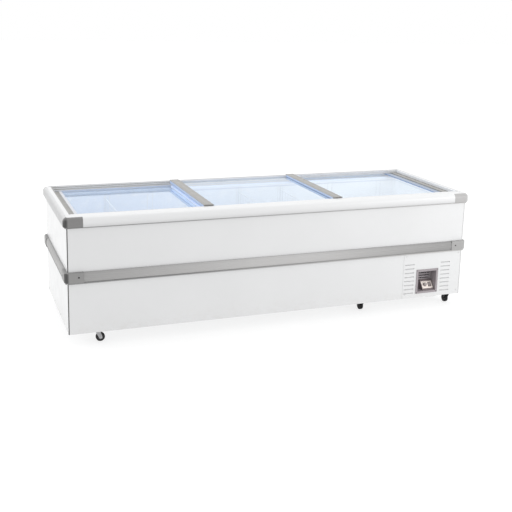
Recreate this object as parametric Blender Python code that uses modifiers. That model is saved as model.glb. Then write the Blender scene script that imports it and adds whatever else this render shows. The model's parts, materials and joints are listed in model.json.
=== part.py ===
"""Long chest freezer for ice cream: an insulated tub on four swivel castors, with three sliding glass lids.

Origin on the floor under the middle of the cabinet. +X along the length, -Y to the front, +Z up. Metres.
"""
import math

import bmesh
import bpy
from mathutils import Matrix, Vector

# Driving dimensions
WALL_X = 1.220            # outer face of an end wall
WALL_Y = 0.412            # outer face of the front and rear walls
BODY_BOTTOM = 0.080       # underside of the cabinet, carried by the castors
RIM_TOP = 0.729           # top of the white rim
GAP = 0.0003              # between pieces that touch

SHEET = 0.0015            # painted steel panels and the liner
PANEL_TOP = 0.684
BUMPER_BOTTOM = 0.6715
BUMPER_OUT = 0.018        # how far the rim bumper stands proud of the walls
BAND_BOTTOM = 0.371
BAND_TOP = 0.427
BAND_OUT = 0.0165
CORNER_SEAM = 0.0035      # open joint between the front panel and an end panel
CORNER_LEG = 0.085        # length of a grey corner piece along the front and rear walls
RIM_CORNER_LEG = 0.012    # and of a rim corner piece along an end wall

LINER_X = 1.145           # inner faces of the liner
LINER_Y = 0.335
LINER_FLOOR = 0.155
STEP_X = 0.725            # the tub is shallow past this, over the machine compartment
STEP_FLOOR = 0.440
LINER_RADIUS = 0.020

OPEN_X = 1.195            # the opening inside the rim
OPEN_FRONT = -0.337
OPEN_REAR = 0.387
COVER_THICKNESS = 0.0025
TRACK_DEPTH = 0.024
SLOT_DEPTH = 0.0165
SLOT_HEIGHT = 0.006
GLASS = 0.004
LID_PITCH = 0.012         # height from one lid's track to the next
TOP_SLOT = 0.713          # floor of the highest slot
STILE_WIDTH = 0.056
STILE_HEIGHT = 0.0114
MIDDLE_LID = (-0.448, 0.4075)    # the ends of the middle lid
BAR_TOP = 0.7345

ROOM_X = 0.800            # machine compartment: from here to the right end wall
ROOM_TOP = 0.372
GRILLE_X = 0.812
LOUVRE_COLUMNS = ((0.822, 0.888), (1.075, 1.141))
LOUVRE_HALF = 0.0035
SLOT_ROWS = 8
SLOT_PITCH = 0.0261
SLOT_FIRST = 0.111
BAY_X = (0.905, 1.058)
BAY_Z = (0.106, 0.259)

CASTORS = {               # pivot x, pivot y, and the heading its wheel trails along, in degrees
    "front_left": (-1.060, -0.338, 0.0),
    "front_middle": (0.586, -0.318, 90.0),
    "front_right": (1.181, -0.344, 90.0),
    "rear_left": (-1.060, 0.338, 60.0),
    "rear_middle": (0.586, 0.318, 20.0),
    "rear_right": (1.181, 0.344, -90.0),
}
WHEEL_RADIUS = 0.025
WHEEL_WIDTH = 0.020
TRAIL = 0.022
AXLE_RADIUS = 0.003
DIVIDERS = {"left": -0.870, "middle": -0.005, "right": 0.287}

for item in list(bpy.data.objects):
    bpy.data.objects.remove(item, do_unlink=True)


def new_collection(name):
    collection = bpy.data.collections.new(name)
    bpy.context.scene.collection.children.link(collection)
    return collection


PARTS = new_collection("ice_cream_freezer")
CUTTERS = new_collection("cutters")


def material(name, colour, roughness, metallic=0.0, alpha=1.0):
    made = bpy.data.materials.new(name)
    made.use_nodes = True
    shader = made.node_tree.nodes["Principled BSDF"]
    shader.inputs["Base Color"].default_value = (*colour, 1.0)
    shader.inputs["Roughness"].default_value = roughness
    shader.inputs["Metallic"].default_value = metallic
    shader.inputs["Alpha"].default_value = alpha
    return made


WHITE_PAINT = dict(colour=(0.84, 0.85, 0.86), roughness=0.35)
WHITE_PLASTIC = dict(colour=(0.86, 0.87, 0.87), roughness=0.45)
GREY_PLASTIC = dict(colour=(0.36, 0.36, 0.36), roughness=0.50)
LID_GREY = dict(colour=(0.48, 0.47, 0.45), roughness=0.40)
LINER_WHITE = dict(colour=(0.82, 0.87, 0.93), roughness=0.30)
FOAM = dict(colour=(0.80, 0.70, 0.42), roughness=0.90)
GLASS_LOOK = dict(colour=(0.80, 0.90, 0.97), roughness=0.05, alpha=0.25)
GALVANISED = dict(colour=(0.55, 0.56, 0.57), roughness=0.40, metallic=0.9)
BLACK_PLASTIC = dict(colour=(0.02, 0.02, 0.02), roughness=0.55)
BLACK_PAINT = dict(colour=(0.03, 0.03, 0.03), roughness=0.35)
ALUMINIUM = dict(colour=(0.75, 0.76, 0.77), roughness=0.35, metallic=1.0)
WIRE_WHITE = dict(colour=(0.80, 0.84, 0.88), roughness=0.35)


def place(name, mesh, look=None, collection=PARTS):
    """Makes the object that holds a mesh. A piece gets its material, a cutter none."""
    made = bpy.data.objects.new(name, mesh)
    collection.objects.link(made)
    if look:
        mesh.materials.clear()
        mesh.materials.append(material(name + "_finish", **look))
    else:
        made.hide_render = True
        made.display_type = "WIRE"
    return made


def box_mesh(name, low, high, radius=0.0, segments=3):
    """A box between two corners, with its upright edges rounded if a radius is given."""
    low, high = Vector(low), Vector(high)
    bm = bmesh.new()
    bmesh.ops.create_cube(bm, size=1.0)
    bmesh.ops.scale(bm, vec=high - low, verts=bm.verts)
    bmesh.ops.translate(bm, vec=(low + high) / 2, verts=bm.verts)
    if radius:
        upright = [e for e in bm.edges if abs(e.verts[0].co.z - e.verts[1].co.z) > 1e-6]
        bmesh.ops.bevel(bm, geom=upright, offset=radius, segments=segments, profile=0.5, affect="EDGES")
    mesh = bpy.data.meshes.new(name)
    bm.to_mesh(mesh)
    bm.free()
    return mesh


def cylinder_mesh(name, radius, low, high, centre=(0.0, 0.0), sides=24, axis="Z"):
    """A round bar from low to high along an axis. centre gives its other two coordinates, in axis order."""
    bm = bmesh.new()
    bmesh.ops.create_cone(bm, cap_ends=True, segments=sides, radius1=radius, radius2=radius,
                          depth=high - low)
    middle = (low + high) / 2
    if axis == "X":
        bmesh.ops.rotate(bm, matrix=Matrix.Rotation(math.pi / 2, 3, "Y"), verts=bm.verts)
        place_at = (middle, *centre)
    elif axis == "Y":
        bmesh.ops.rotate(bm, matrix=Matrix.Rotation(-math.pi / 2, 3, "X"), verts=bm.verts)
        place_at = (centre[0], middle, centre[1])
    else:
        place_at = (*centre, middle)
    bmesh.ops.translate(bm, vec=place_at, verts=bm.verts)
    mesh = bpy.data.meshes.new(name)
    bm.to_mesh(mesh)
    bm.free()
    return mesh


def boolean(target, tool, operation):
    step = target.modifiers.new(tool.name, "BOOLEAN")
    step.operation = operation
    step.solver = "EXACT"
    step.object = tool


def cut_box(target, name, low, high, radius=0.0):
    boolean(target, place(name, box_mesh(name, low, high, radius), collection=CUTTERS), "DIFFERENCE")


def cut_cylinder(target, name, radius, low, high, centre, sides=24, axis="Z"):
    tool = place(name, cylinder_mesh(name, radius, low, high, centre, sides, axis), collection=CUTTERS)
    boolean(target, tool, "DIFFERENCE")


def join_mesh(target, name, mesh):
    boolean(target, place(name, mesh, collection=CUTTERS), "UNION")


def outline_curve(name, loops, thickness):
    """A flat plate: closed outlines in the local XY plane, the first solid and the rest holes."""
    curve = bpy.data.curves.new(name, "CURVE")
    curve.dimensions = "2D"
    curve.fill_mode = "BOTH"
    curve.extrude = thickness / 2
    for loop in loops:
        spline = curve.splines.new("POLY")
        spline.points.add(len(loop) - 1)
        for point, (x, y) in zip(spline.points, loop):
            point.co = (x, y, 0.0, 1.0)
        spline.use_cyclic_u = True
    return curve


ACROSS_X = Matrix(((0, 0, 1), (1, 0, 0), (0, 1, 0)))      # local x, y, z become world y, z, x
ACROSS_Y = Matrix(((1, 0, 0), (0, 0, -1), (0, 1, 0)))     # local x, y, z become world x, z, -y


def plate(name, loops, low, high, turn, look=None):
    """A mesh piece extruded from low to high along the world axis that the turn sends local z to."""
    curve = outline_curve(name, loops, high - low)
    guide = bpy.data.objects.new(name + "_outline", curve)
    CUTTERS.objects.link(guide)
    guide.matrix_world = Matrix.Translation(turn @ Vector((0, 0, (low + high) / 2))) @ turn.to_4x4()
    bpy.context.view_layer.update()
    mesh = bpy.data.meshes.new_from_object(guide.evaluated_get(bpy.context.evaluated_depsgraph_get()))
    mesh.transform(guide.matrix_world)
    bm = bmesh.new()
    bm.from_mesh(mesh)
    bmesh.ops.remove_doubles(bm, verts=bm.verts, dist=0.00002)
    bmesh.ops.recalc_face_normals(bm, faces=bm.faces)
    bm.to_mesh(mesh)
    bm.free()
    bpy.data.objects.remove(guide, do_unlink=True)
    mesh.name = name
    mesh.shade_smooth()
    mesh.set_sharp_from_angle(angle=math.radians(35))
    return place(name, mesh, look, PARTS if look else CUTTERS)


def rectangle(low_x, high_x, low_y, high_y):
    return [(low_x, low_y), (high_x, low_y), (high_x, high_y), (low_x, high_y)]


def arc(centre, radius, start, end, steps):
    """Points on an arc, its angles in degrees."""
    angles = [math.radians(start + (end - start) * i / steps) for i in range(steps + 1)]
    return [(centre[0] + radius * math.cos(a), centre[1] + radius * math.sin(a)) for a in angles]


def bumper_profile():
    """(outward, up) points of the rim bumper: a long round shoulder, a flat face, a small lower round."""
    shoulder_low = 0.703
    shoulder = []
    for step in range(7):
        angle = math.radians(90 * step / 6)
        shoulder.append((GAP + (BUMPER_OUT - GAP) * math.sin(angle),
                         shoulder_low + (RIM_TOP - shoulder_low) * math.cos(angle)))
    foot = arc((BUMPER_OUT - 0.010, BUMPER_BOTTOM + 0.010), 0.010, 0, -90, 3)
    return [(GAP, BUMPER_BOTTOM)] + shoulder + foot


def band_profile(extra=0.0):
    """(outward, up) points of the mid-height band: a shallow box with round edges and two long grooves."""
    out = BAND_OUT + extra
    low, high = BAND_BOTTOM - extra, BAND_TOP + extra
    points = [(GAP, low), (GAP, high)] + arc((out - 0.008, high - 0.008), 0.008, 90, 0, 3)
    if not extra:
        for level in (0.408, 0.389):
            points += [(out, level + 0.002), (out - 0.0015, level), (out, level - 0.002)]
    return points + arc((out - 0.008, low + 0.008), 0.008, 0, -90, 3)


def straight_moulding(name, profile, side, low, high, look):
    """A moulding along one wall. side is front, rear, left or right."""
    if side in ("front", "rear"):
        sign = -1 if side == "front" else 1
        loop = [(sign * (WALL_Y + out), up) for out, up in profile]
        return plate(name, [loop], low, high, ACROSS_X, look)
    sign = -1 if side == "left" else 1
    loop = [(sign * (WALL_X + out), up) for out, up in profile]
    return plate(name, [loop], -high, -low, ACROSS_Y, look)


def corner_moulding(name, profile, sign_x, sign_y, leg_x, leg_y, look, steps=6):
    """A moulding round one corner: along the front or rear wall, round, and along the end wall."""
    inset = 0.010
    deep = [(-0.004 if out == GAP else out, up) for out, up in profile]
    rings = [[(WALL_X - leg_x, WALL_Y + out, up) for out, up in deep]]
    for step in range(steps + 1):
        angle = math.radians(90 * step / steps)
        rings.append([(WALL_X - inset + (inset + out) * math.sin(angle),
                       WALL_Y - inset + (inset + out) * math.cos(angle), up) for out, up in deep])
    rings.append([(WALL_X + out, WALL_Y - leg_y, up) for out, up in deep])
    bm = bmesh.new()
    loops = [[bm.verts.new((sign_x * x, sign_y * y, z)) for x, y, z in ring] for ring in rings]
    for before, after in zip(loops, loops[1:]):
        for i in range(len(before)):
            j = (i + 1) % len(before)
            bm.faces.new((before[i], before[j], after[j], after[i]))
    bm.faces.new(loops[0])
    bm.faces.new(loops[-1])
    bmesh.ops.recalc_face_normals(bm, faces=bm.faces)
    mesh = bpy.data.meshes.new(name)
    bm.to_mesh(mesh)
    bm.free()
    corner = place(name, mesh, look)
    near_x, far_x = sorted((sign_x * (WALL_X + GAP), 0.0))
    near_y, far_y = sorted((sign_y * (WALL_Y + GAP), 0.0))
    cut_box(corner, name + "_walls", (near_x, near_y, 0.0), (far_x, far_y, 1.0))
    return corner


def turned(name, profile, look, location=(0, 0, 0), rotation=(0, 0, 0), steps=24):
    """A round piece: (radius, height) points down its outer side, turned about its own Z axis."""
    mesh = bpy.data.meshes.new(name)
    mesh.from_pydata([(r, 0.0, z) for r, z in profile], [(i, i + 1) for i in range(len(profile) - 1)], [])
    made = place(name, mesh, look)
    made.location = location
    made.rotation_euler = rotation
    screw = made.modifiers.new("turn", "SCREW")
    screw.steps = steps
    screw.render_steps = steps
    screw.use_merge_vertices = True
    screw.merge_threshold = 0.00002
    screw.use_smooth_shade = True
    return made


def tub_boxes(grow, top):
    """The deep and the shallow part of the tub, grown outwards on every side but the top."""
    deep = ((-LINER_X - grow, -LINER_Y - grow, LINER_FLOOR - grow), (STEP_X + grow, LINER_Y + grow, top))
    shallow = ((-LINER_X - grow, -LINER_Y - grow, STEP_FLOOR - grow), (LINER_X + grow, LINER_Y + grow, top))
    return deep, shallow


# Outer panels
def build_panels():
    left, right = -WALL_X + CORNER_SEAM, WALL_X - CORNER_SEAM
    corner = GRILLE_X - 0.001
    loop = [(left, BODY_BOTTOM), (corner, BODY_BOTTOM), (corner, BAND_BOTTOM + GAP),
            (right, BAND_BOTTOM + GAP), (right, PANEL_TOP), (left, PANEL_TOP)]
    plate("front_panel", [loop], WALL_Y - SHEET, WALL_Y, ACROSS_Y, WHITE_PAINT)

    wall = rectangle(left, right, BODY_BOTTOM, PANEL_TOP)
    slots = []
    for row in range(6):
        low = 0.150 + 0.030 * row
        slots.append(rectangle(0.880, 1.140, low, low + 0.010))
    plate("rear_panel", [wall] + slots, -WALL_Y, -WALL_Y + SHEET, ACROSS_Y, WHITE_PAINT)

    inset = WALL_Y - SHEET - GAP
    end = rectangle(-inset, inset, BODY_BOTTOM, PANEL_TOP)
    plate("left_end_panel", [end], -WALL_X, -WALL_X + SHEET, ACROSS_X, WHITE_PAINT)
    plate("right_end_panel", [end], WALL_X - SHEET, WALL_X, ACROSS_X, WHITE_PAINT)


# Insulated tub
def build_tub():
    in_x = WALL_X - SHEET - GAP
    in_y = WALL_Y - SHEET - GAP
    pan_top = BODY_BOTTOM + 0.002
    slab = box_mesh("base_pan", (-in_x, -in_y, BODY_BOTTOM), (in_x, in_y, pan_top))
    base = place("base_pan", slab, GALVANISED)
    for name, (x, y, _) in CASTORS.items():
        pad = box_mesh(name + "_pad", (x - 0.030, y - 0.030, BODY_BOTTOM - 0.0025),
                       (x + 0.030, y + 0.030, pan_top - 0.001))
        join_mesh(base, name + "_pad", pad)
    for row in range(3):
        low = 1.000 + 0.045 * row
        cut_box(base, f"floor_vent_{row}", (low, -0.240, 0.07), (low + 0.012, -0.080, 0.09))

    foam_top = PANEL_TOP - 0.0005
    slab = box_mesh("foam_body", (-in_x, -in_y, pan_top + GAP), (in_x, in_y, foam_top))
    foam = place("foam_body", slab, FOAM)
    deep, shallow = tub_boxes(SHEET + GAP, RIM_TOP)
    cut_box(foam, "foam_deep", *deep, radius=LINER_RADIUS)
    cut_box(foam, "foam_shallow", *shallow, radius=LINER_RADIUS)
    cut_box(foam, "foam_machine_room", (ROOM_X, -0.5, 0.0), (WALL_X + 0.1, 0.5, ROOM_TOP))

    deep, shallow = tub_boxes(SHEET, foam_top)
    liner = place("inner_liner", box_mesh("inner_liner", *deep, radius=LINER_RADIUS), LINER_WHITE)
    join_mesh(liner, "liner_shallow", box_mesh("liner_shallow", *shallow, radius=LINER_RADIUS))
    deep, shallow = tub_boxes(0.0, RIM_TOP)
    cut_box(liner, "tub_deep", *deep, radius=LINER_RADIUS - SHEET)
    cut_box(liner, "tub_shallow", *shallow, radius=LINER_RADIUS - SHEET)

    low, high = foam_top + GAP, foam_top + GAP + 0.003
    slab = box_mesh("breaker_frame", (-in_x, -in_y, low), (in_x, in_y, high))
    breaker = place("breaker_frame", slab, LINER_WHITE)
    for sign, side in ((-1, "left"), (1, "right")):
        near, far = sorted((sign * OPEN_X, sign * in_x))
        upstand = box_mesh(side + "_upstand", (near, OPEN_FRONT + GAP, low + 0.001),
                           (far, OPEN_REAR - GAP, RIM_TOP - COVER_THICKNESS - GAP))
        join_mesh(breaker, side + "_upstand", upstand)
    cut_box(breaker, "breaker_hole", (-LINER_X, -LINER_Y, 0.5), (LINER_X, LINER_Y, 0.9))


# Rim: cover, tracks, bumpers and their corner pieces
def track_profile():
    """(depth from the opening, up) points of a lid track with three slots, one above the other."""
    low = PANEL_TOP + 0.003
    points = [(0.0, low), (TRACK_DEPTH, low), (TRACK_DEPTH, RIM_TOP - COVER_THICKNESS - GAP),
              (0.0, RIM_TOP - COVER_THICKNESS - GAP)]
    for level in range(3):
        floor = TOP_SLOT - LID_PITCH * level
        roof = floor + SLOT_HEIGHT
        points += [(0.0, roof), (SLOT_DEPTH, roof), (SLOT_DEPTH, floor), (0.0, floor)]
    return points


def build_rim():
    cover = place("top_cover", box_mesh("top_cover", (-WALL_X, -WALL_Y, RIM_TOP - COVER_THICKNESS),
                                        (WALL_X, WALL_Y, RIM_TOP)), WHITE_PLASTIC)
    cut_box(cover, "cover_hole", (-OPEN_X, OPEN_FRONT, 0.6), (OPEN_X, OPEN_REAR, 0.9))

    length = WALL_X - SHEET - 2 * GAP
    front = [(OPEN_FRONT - depth, up) for depth, up in track_profile()]
    plate("lid_track_front", [front], -length, length, ACROSS_X, LID_GREY)
    rear = [(OPEN_REAR + min(depth, WALL_Y - SHEET - GAP - OPEN_REAR), up) for depth, up in track_profile()]
    plate("lid_track_rear", [rear], -length, length, ACROSS_X, LID_GREY)

    reach = WALL_X - CORNER_LEG - GAP
    for side in ("front", "rear"):
        straight_moulding("bumper_" + side, bumper_profile(), side, -reach, reach, WHITE_PLASTIC)
        straight_moulding("band_" + side, band_profile(), side, -reach, reach, GREY_PLASTIC)
    for side in ("left", "right"):
        inner = WALL_Y - RIM_CORNER_LEG - GAP
        straight_moulding("bumper_" + side, bumper_profile(), side, -inner, inner, WHITE_PLASTIC)
        inner = WALL_Y - CORNER_LEG - GAP
        straight_moulding("band_" + side, band_profile(), side, -inner, inner, GREY_PLASTIC)
    for sign_y, row in ((-1, "front"), (1, "rear")):
        for sign_x, side in ((-1, "left"), (1, "right")):
            corner_moulding(f"bumper_corner_{row}_{side}", bumper_profile(), sign_x, sign_y,
                            CORNER_LEG, RIM_CORNER_LEG, GREY_PLASTIC)
            corner_moulding(f"band_corner_{row}_{side}", band_profile(0.0015), sign_x, sign_y,
                            CORNER_LEG, CORNER_LEG, GREY_PLASTIC)


# Lids
def stile_profile(outer, inner, low, high, glass_low):
    """(x, up) points of a lid stile: a bar with a groove for the glass along its inner edge."""
    groove = inner + math.copysign(0.016, outer - inner)
    roof, floor = glass_low + GLASS + GAP, glass_low - GAP
    return [(outer, low), (outer, high), (inner, high), (inner, roof),
            (groove, roof), (groove, floor), (inner, floor), (inner, low)]


def build_lid(name, low_x, high_x, level, is_bar=False):
    """A sliding lid: a glass pane between two stiles. is_bar: its stiles rise over the rim."""
    glass_low = TOP_SLOT - LID_PITCH * level + (SLOT_HEIGHT - GLASS) / 2
    stile_low = glass_low - 0.0012
    stile_high = stile_low + STILE_HEIGHT
    front, rear = OPEN_FRONT + 0.0015, OPEN_REAR - 0.0015
    hold = 0.0155
    pane = box_mesh(f"{name}_glass", (low_x + STILE_WIDTH - hold, OPEN_FRONT - 0.0145, glass_low),
                    (high_x - STILE_WIDTH + hold, OPEN_REAR + 0.0145, glass_low + GLASS))
    place(f"{name}_glass", pane, GLASS_LOOK)
    stiles = (("left", low_x, low_x + STILE_WIDTH), ("right", high_x, high_x - STILE_WIDTH))
    for side, outer, inner in stiles:
        top = RIM_TOP + 0.003 if is_bar else stile_high
        loop = stile_profile(outer, inner, stile_low, top, glass_low)
        stile = plate(f"{name}_stile_{side}", [loop], -rear, -front, ACROSS_Y, LID_GREY)
        if is_bar:
            near, far = sorted((outer, inner))
            bar = box_mesh(f"{name}_bar_{side}", (near - 0.001, OPEN_FRONT - 0.008, RIM_TOP + 0.0005),
                           (far + 0.001, OPEN_REAR + 0.013, BAR_TOP), radius=0.004, segments=2)
            join_mesh(stile, f"{name}_bar_{side}", bar)


# Machine compartment
def prisms(name, sections, low_x, high_x):
    """One mesh of several bars that run along X, each with its own outline of (y, z) points."""
    bm = bmesh.new()
    for section in sections:
        rings = [[bm.verts.new((x, y, z)) for y, z in section] for x in (low_x, high_x)]
        bm.faces.new(rings[0])
        bm.faces.new(rings[1])
        for i in range(len(section)):
            j = (i + 1) % len(section)
            bm.faces.new((rings[0][j], rings[0][i], rings[1][i], rings[1][j]))
    bmesh.ops.recalc_face_normals(bm, faces=bm.faces)
    mesh = bpy.data.meshes.new(name)
    bm.to_mesh(mesh)
    bm.free()
    return mesh


def build_grille():
    """Front panel of the machine compartment: two columns of louvres, and a hole for the control bay."""
    sheet = box_mesh("grille_panel", (GRILLE_X, -WALL_Y, BODY_BOTTOM),
                     (WALL_X - CORNER_SEAM, -WALL_Y + SHEET, BAND_BOTTOM - GAP))
    panel = place("grille_panel", sheet, WHITE_PAINT)
    bow = arc((1.015, BODY_BOTTOM), 0.040, 185, 355, 8)
    lip = [(x, BODY_BOTTOM + (z - BODY_BOTTOM) * 0.13) for x, z in bow]
    loop = [(0.9752, BODY_BOTTOM + 0.004)] + lip + [(1.0548, BODY_BOTTOM + 0.004)]
    boolean(panel, plate("lip", [loop], WALL_Y - SHEET, WALL_Y, ACROSS_Y), "UNION")
    cut_box(panel, "bay_hole", (BAY_X[0] + 0.010, -0.5, BAY_Z[0] + 0.010),
            (BAY_X[1] - 0.010, -0.3, BAY_Z[1] - 0.010))

    outer, foot, head = -WALL_Y - 0.01, -WALL_Y + 0.0007, -WALL_Y + 0.0086
    slots, slats = [], []
    for row in range(SLOT_ROWS):
        low = SLOT_FIRST + SLOT_PITCH * row - LOUVRE_HALF
        high = low + 2 * LOUVRE_HALF
        slots.append([(outer, low), (head, low), (head, high), (outer, high)])
        slats.append([(foot, low - 0.0010), (head, high - 0.0001), (head, high + 0.0014),
                      (foot, low + 0.0005)])
    for column, (low_x, high_x) in enumerate(LOUVRE_COLUMNS):
        tool = place(f"slots_{column}", prisms(f"slots_{column}", slots, low_x, high_x), collection=CUTTERS)
        boolean(panel, tool, "DIFFERENCE")
    for column, (low_x, high_x) in enumerate(LOUVRE_COLUMNS):
        blades = prisms(f"slats_{column}", slats, low_x - 0.0007, high_x + 0.0007)
        join_mesh(panel, f"slats_{column}", blades)


def build_controls():
    """Recessed control bay: a grey bezel with a tub behind it, a sloping console, a knob and a switch."""
    face = -WALL_Y - GAP
    bezel = place("control_bezel", box_mesh("control_bezel", (BAY_X[0], face - 0.003, BAY_Z[0]),
                                            (BAY_X[1], face, BAY_Z[1])), GREY_PLASTIC)
    wall_low = (BAY_X[0] + 0.011, face - 0.001, BAY_Z[0] + 0.011)
    wall_high = (BAY_X[1] - 0.011, face + 0.062, BAY_Z[1] - 0.011)
    join_mesh(bezel, "bay_tub", box_mesh("bay_tub", wall_low, wall_high))
    hollow_low = (wall_low[0] + 0.002, face - 0.1, wall_low[2] + 0.002)
    hollow_high = (wall_high[0] - 0.002, wall_high[1] - 0.002, wall_high[2] - 0.002)
    cut_box(bezel, "bay_hollow", hollow_low, hollow_high)
    for row in range(5):
        low = BAY_Z[0] + 0.060 + 0.016 * row
        cut_box(bezel, f"bay_slot_{row}", (BAY_X[0] + 0.022, -0.36, low),
                (BAY_X[1] - 0.022, -0.30, low + 0.006))

    depth = hollow_high[1] - GAP
    low = hollow_low[2] + GAP
    front, top = face + 0.012, low + 0.050
    wedge = [(front, low), (depth, low), (depth, top + 0.006), (depth - 0.012, top), (front, low + 0.006)]
    plate("control_console", [wedge], BAY_X[0] + 0.058, BAY_X[1] - 0.014, ACROSS_X, WHITE_PLASTIC)
    console = bpy.data.objects["control_console"]

    slope = math.atan2(top - low - 0.006, depth - 0.012 - front)
    middle = Vector((0.0, (front + depth - 0.012) / 2, (low + 0.006 + top) / 2))
    normal = Vector((0.0, -math.sin(slope), math.cos(slope)))
    knob_at = middle + Vector((BAY_X[0] + 0.083, 0.0, 0.0)) + normal * 0.0006
    profile = [(0.0, 0.011), (0.0095, 0.011), (0.0105, 0.010), (0.0120, 0.0015), (0.0120, 0.0), (0.0, 0.0)]
    turned("thermostat_knob", profile, BLACK_PLASTIC, knob_at, (slope, 0, 0), steps=20)

    well = box_mesh("switch_well", (-0.0083, -0.0125, -0.0080), (0.0083, 0.0125, 0.02))
    tool = place("switch_well", well, collection=CUTTERS)
    switch_at = middle + Vector((BAY_X[0] + 0.116, 0.0, 0.0))
    tool.location = switch_at
    tool.rotation_euler = (slope, 0, 0)
    boolean(console, tool, "DIFFERENCE")
    outline = [(-0.0105, -0.0015), (0.0, -0.0045), (0.0105, -0.0015), (0.0105, 0.0030),
               (0.0, 0.0012), (-0.0105, 0.0052)]
    rocker = plate("power_switch", [outline], -0.0078, 0.0078, ACROSS_X, BLACK_PLASTIC)
    rocker.location = switch_at
    rocker.rotation_euler = (slope, 0, 0)


def build_machine():
    floor = BODY_BOTTOM + 0.002 + GAP
    block = box_mesh("condenser", (0.830, -0.310, floor), (1.080, -0.255, 0.345))
    condenser = place("condenser", block, ALUMINIUM)
    for fin in range(15):
        low = 0.842 + 0.0155 * fin
        cut_box(condenser, f"fin_gap_{fin}", (low, -0.33, 0.105), (low + 0.009, -0.267, 0.333))

    hub = (0.955, 0.210)
    core = cylinder_mesh("condenser_fan", 0.022, -0.249, -0.224, hub, axis="Y")
    blades = place("condenser_fan", core, ALUMINIUM)
    for blade in range(5):
        name = f"fan_blade_{blade}"
        vane = box_mesh(name, (0.012, -0.0008, -0.017), (0.096, 0.0008, 0.017))
        tool = place(name, vane, collection=CUTTERS)
        turn = Matrix.Rotation(2 * math.pi * blade / 5, 4, "Y") @ Matrix.Rotation(math.radians(62), 4, "X")
        tool.matrix_world = Matrix.Translation((hub[0], -0.2365, hub[1])) @ turn
        boolean(blades, tool, "UNION")
    cut_cylinder(blades, "fan_bore", 0.0044, -0.28, -0.20, hub, sides=16, axis="Y")

    motor = place("fan_motor", cylinder_mesh("fan_motor", 0.038, -0.205, -0.150, hub, axis="Y"), GALVANISED)
    join_mesh(motor, "motor_shaft", cylinder_mesh("motor_shaft", 0.004, -0.247, -0.200, hub, 16, "Y"))
    join_mesh(motor, "motor_stand", box_mesh("motor_stand", (0.935, -0.190, floor), (0.975, -0.165, 0.180)))
    foot = box_mesh("motor_foot", (0.915, -0.200, floor), (0.995, -0.155, floor + 0.004))
    join_mesh(motor, "motor_foot", foot)

    profile = [(0.0, 0.300), (0.045, 0.296), (0.078, 0.276), (0.092, 0.245), (0.094, 0.205), (0.098, 0.203),
               (0.098, 0.195), (0.094, 0.193), (0.090, 0.140), (0.070, 0.112), (0.040, 0.102), (0.0, 0.100)]
    pot = turned("compressor", profile, BLACK_PAINT, (1.010, 0.150, 0.0), steps=24)
    for number, (dx, dy) in enumerate(((-1, -1), (1, -1), (-1, 1), (1, 1))):
        leg = box_mesh(f"compressor_foot_{number}", (dx * 0.060 - 0.018, dy * 0.060 - 0.018, floor),
                       (dx * 0.060 + 0.018, dy * 0.060 + 0.018, 0.097))
        join_mesh(pot, f"compressor_foot_{number}", leg)
        bpy.data.objects[f"compressor_foot_{number}"].location = (1.010, 0.150, 0.0)
    cradle = box_mesh("compressor_cradle", (0.936, 0.076, 0.093), (1.084, 0.224, 0.124))
    join_mesh(pot, "compressor_cradle", cradle)


# Wire dividers standing in the tub
def build_divider(name, x):
    reach = LINER_Y - 0.002
    low, rail, post = LINER_FLOOR + GAP, 0.647, 0.6825
    loop = [(-reach, low), (reach, low), (reach, post), (reach - 0.030, post), (reach - 0.030, rail),
            (-reach + 0.030, rail), (-reach + 0.030, post), (-reach, post)]
    holes = []
    count, bar = 14, 0.006
    pitch = (2 * reach - bar) / count
    for column in range(count):
        left = -reach + bar + pitch * column
        holes.append(rectangle(left, left + pitch - bar, low + bar, 0.400))
        holes.append(rectangle(left, left + pitch - bar, 0.400 + bar, rail - bar))
    plate(name, [loop] + holes, x - 0.002, x + 0.002, ACROSS_X, WIRE_WHITE)


# Castors
def build_castor(name, x, y, heading):
    """A swivel castor: a fork with its axle pin as one piece, and a wheel that runs on the pin."""
    turn = Matrix.Rotation(math.radians(heading), 4, "Z")
    at = Matrix.Translation((x, y, 0.0)) @ turn
    top = BODY_BOTTOM - 0.0025 - GAP

    profile = [(0.0, top), (0.021, top), (0.023, top - 0.003), (0.0215, top - 0.010),
               (0.0165, top - 0.014), (0.0, top - 0.014)]
    head = turned(f"castor_fork_{name}", profile, GALVANISED)
    head.matrix_world = at
    for side in (-1, 1):
        inner = side * (WHEEL_WIDTH / 2 + 0.002)
        outer = inner + side * 0.0025
        foot = arc((TRAIL, WHEEL_RADIUS), 0.0095, -150, 20, 6)
        loop = foot + [(0.0155, top - 0.004), (-0.0125, top - 0.004)]
        arm = plate(f"{name}_arm_{side}", [loop], *sorted((-inner, -outer)), ACROSS_Y)
        arm.matrix_world = at
        boolean(head, arm, "UNION")
    reach = WHEEL_WIDTH / 2 + 0.0060
    axle = cylinder_mesh(f"{name}_pin", AXLE_RADIUS, -reach, reach, (TRAIL, WHEEL_RADIUS), 16, "Y")
    pin = place(f"{name}_pin", axle, collection=CUTTERS)
    pin.matrix_world = at
    boolean(head, pin, "UNION")

    half, bore = WHEEL_WIDTH / 2, AXLE_RADIUS + GAP
    profile = [(bore, half), (0.008, half), (0.010, half - 0.002), (0.018, half - 0.002), (0.0195, half),
               (WHEEL_RADIUS - 0.002, half - 0.0010), (WHEEL_RADIUS, half - 0.005)]
    profile += [(r, -z) for r, z in reversed(profile)]
    profile.append(profile[0])
    wheel = turned(f"castor_wheel_{name}", profile, BLACK_PLASTIC, steps=28)
    centre = at @ Vector((TRAIL, 0.0, WHEEL_RADIUS))
    wheel.matrix_world = Matrix.Translation(centre) @ turn @ Matrix.Rotation(math.radians(-90), 4, "X")


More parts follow.
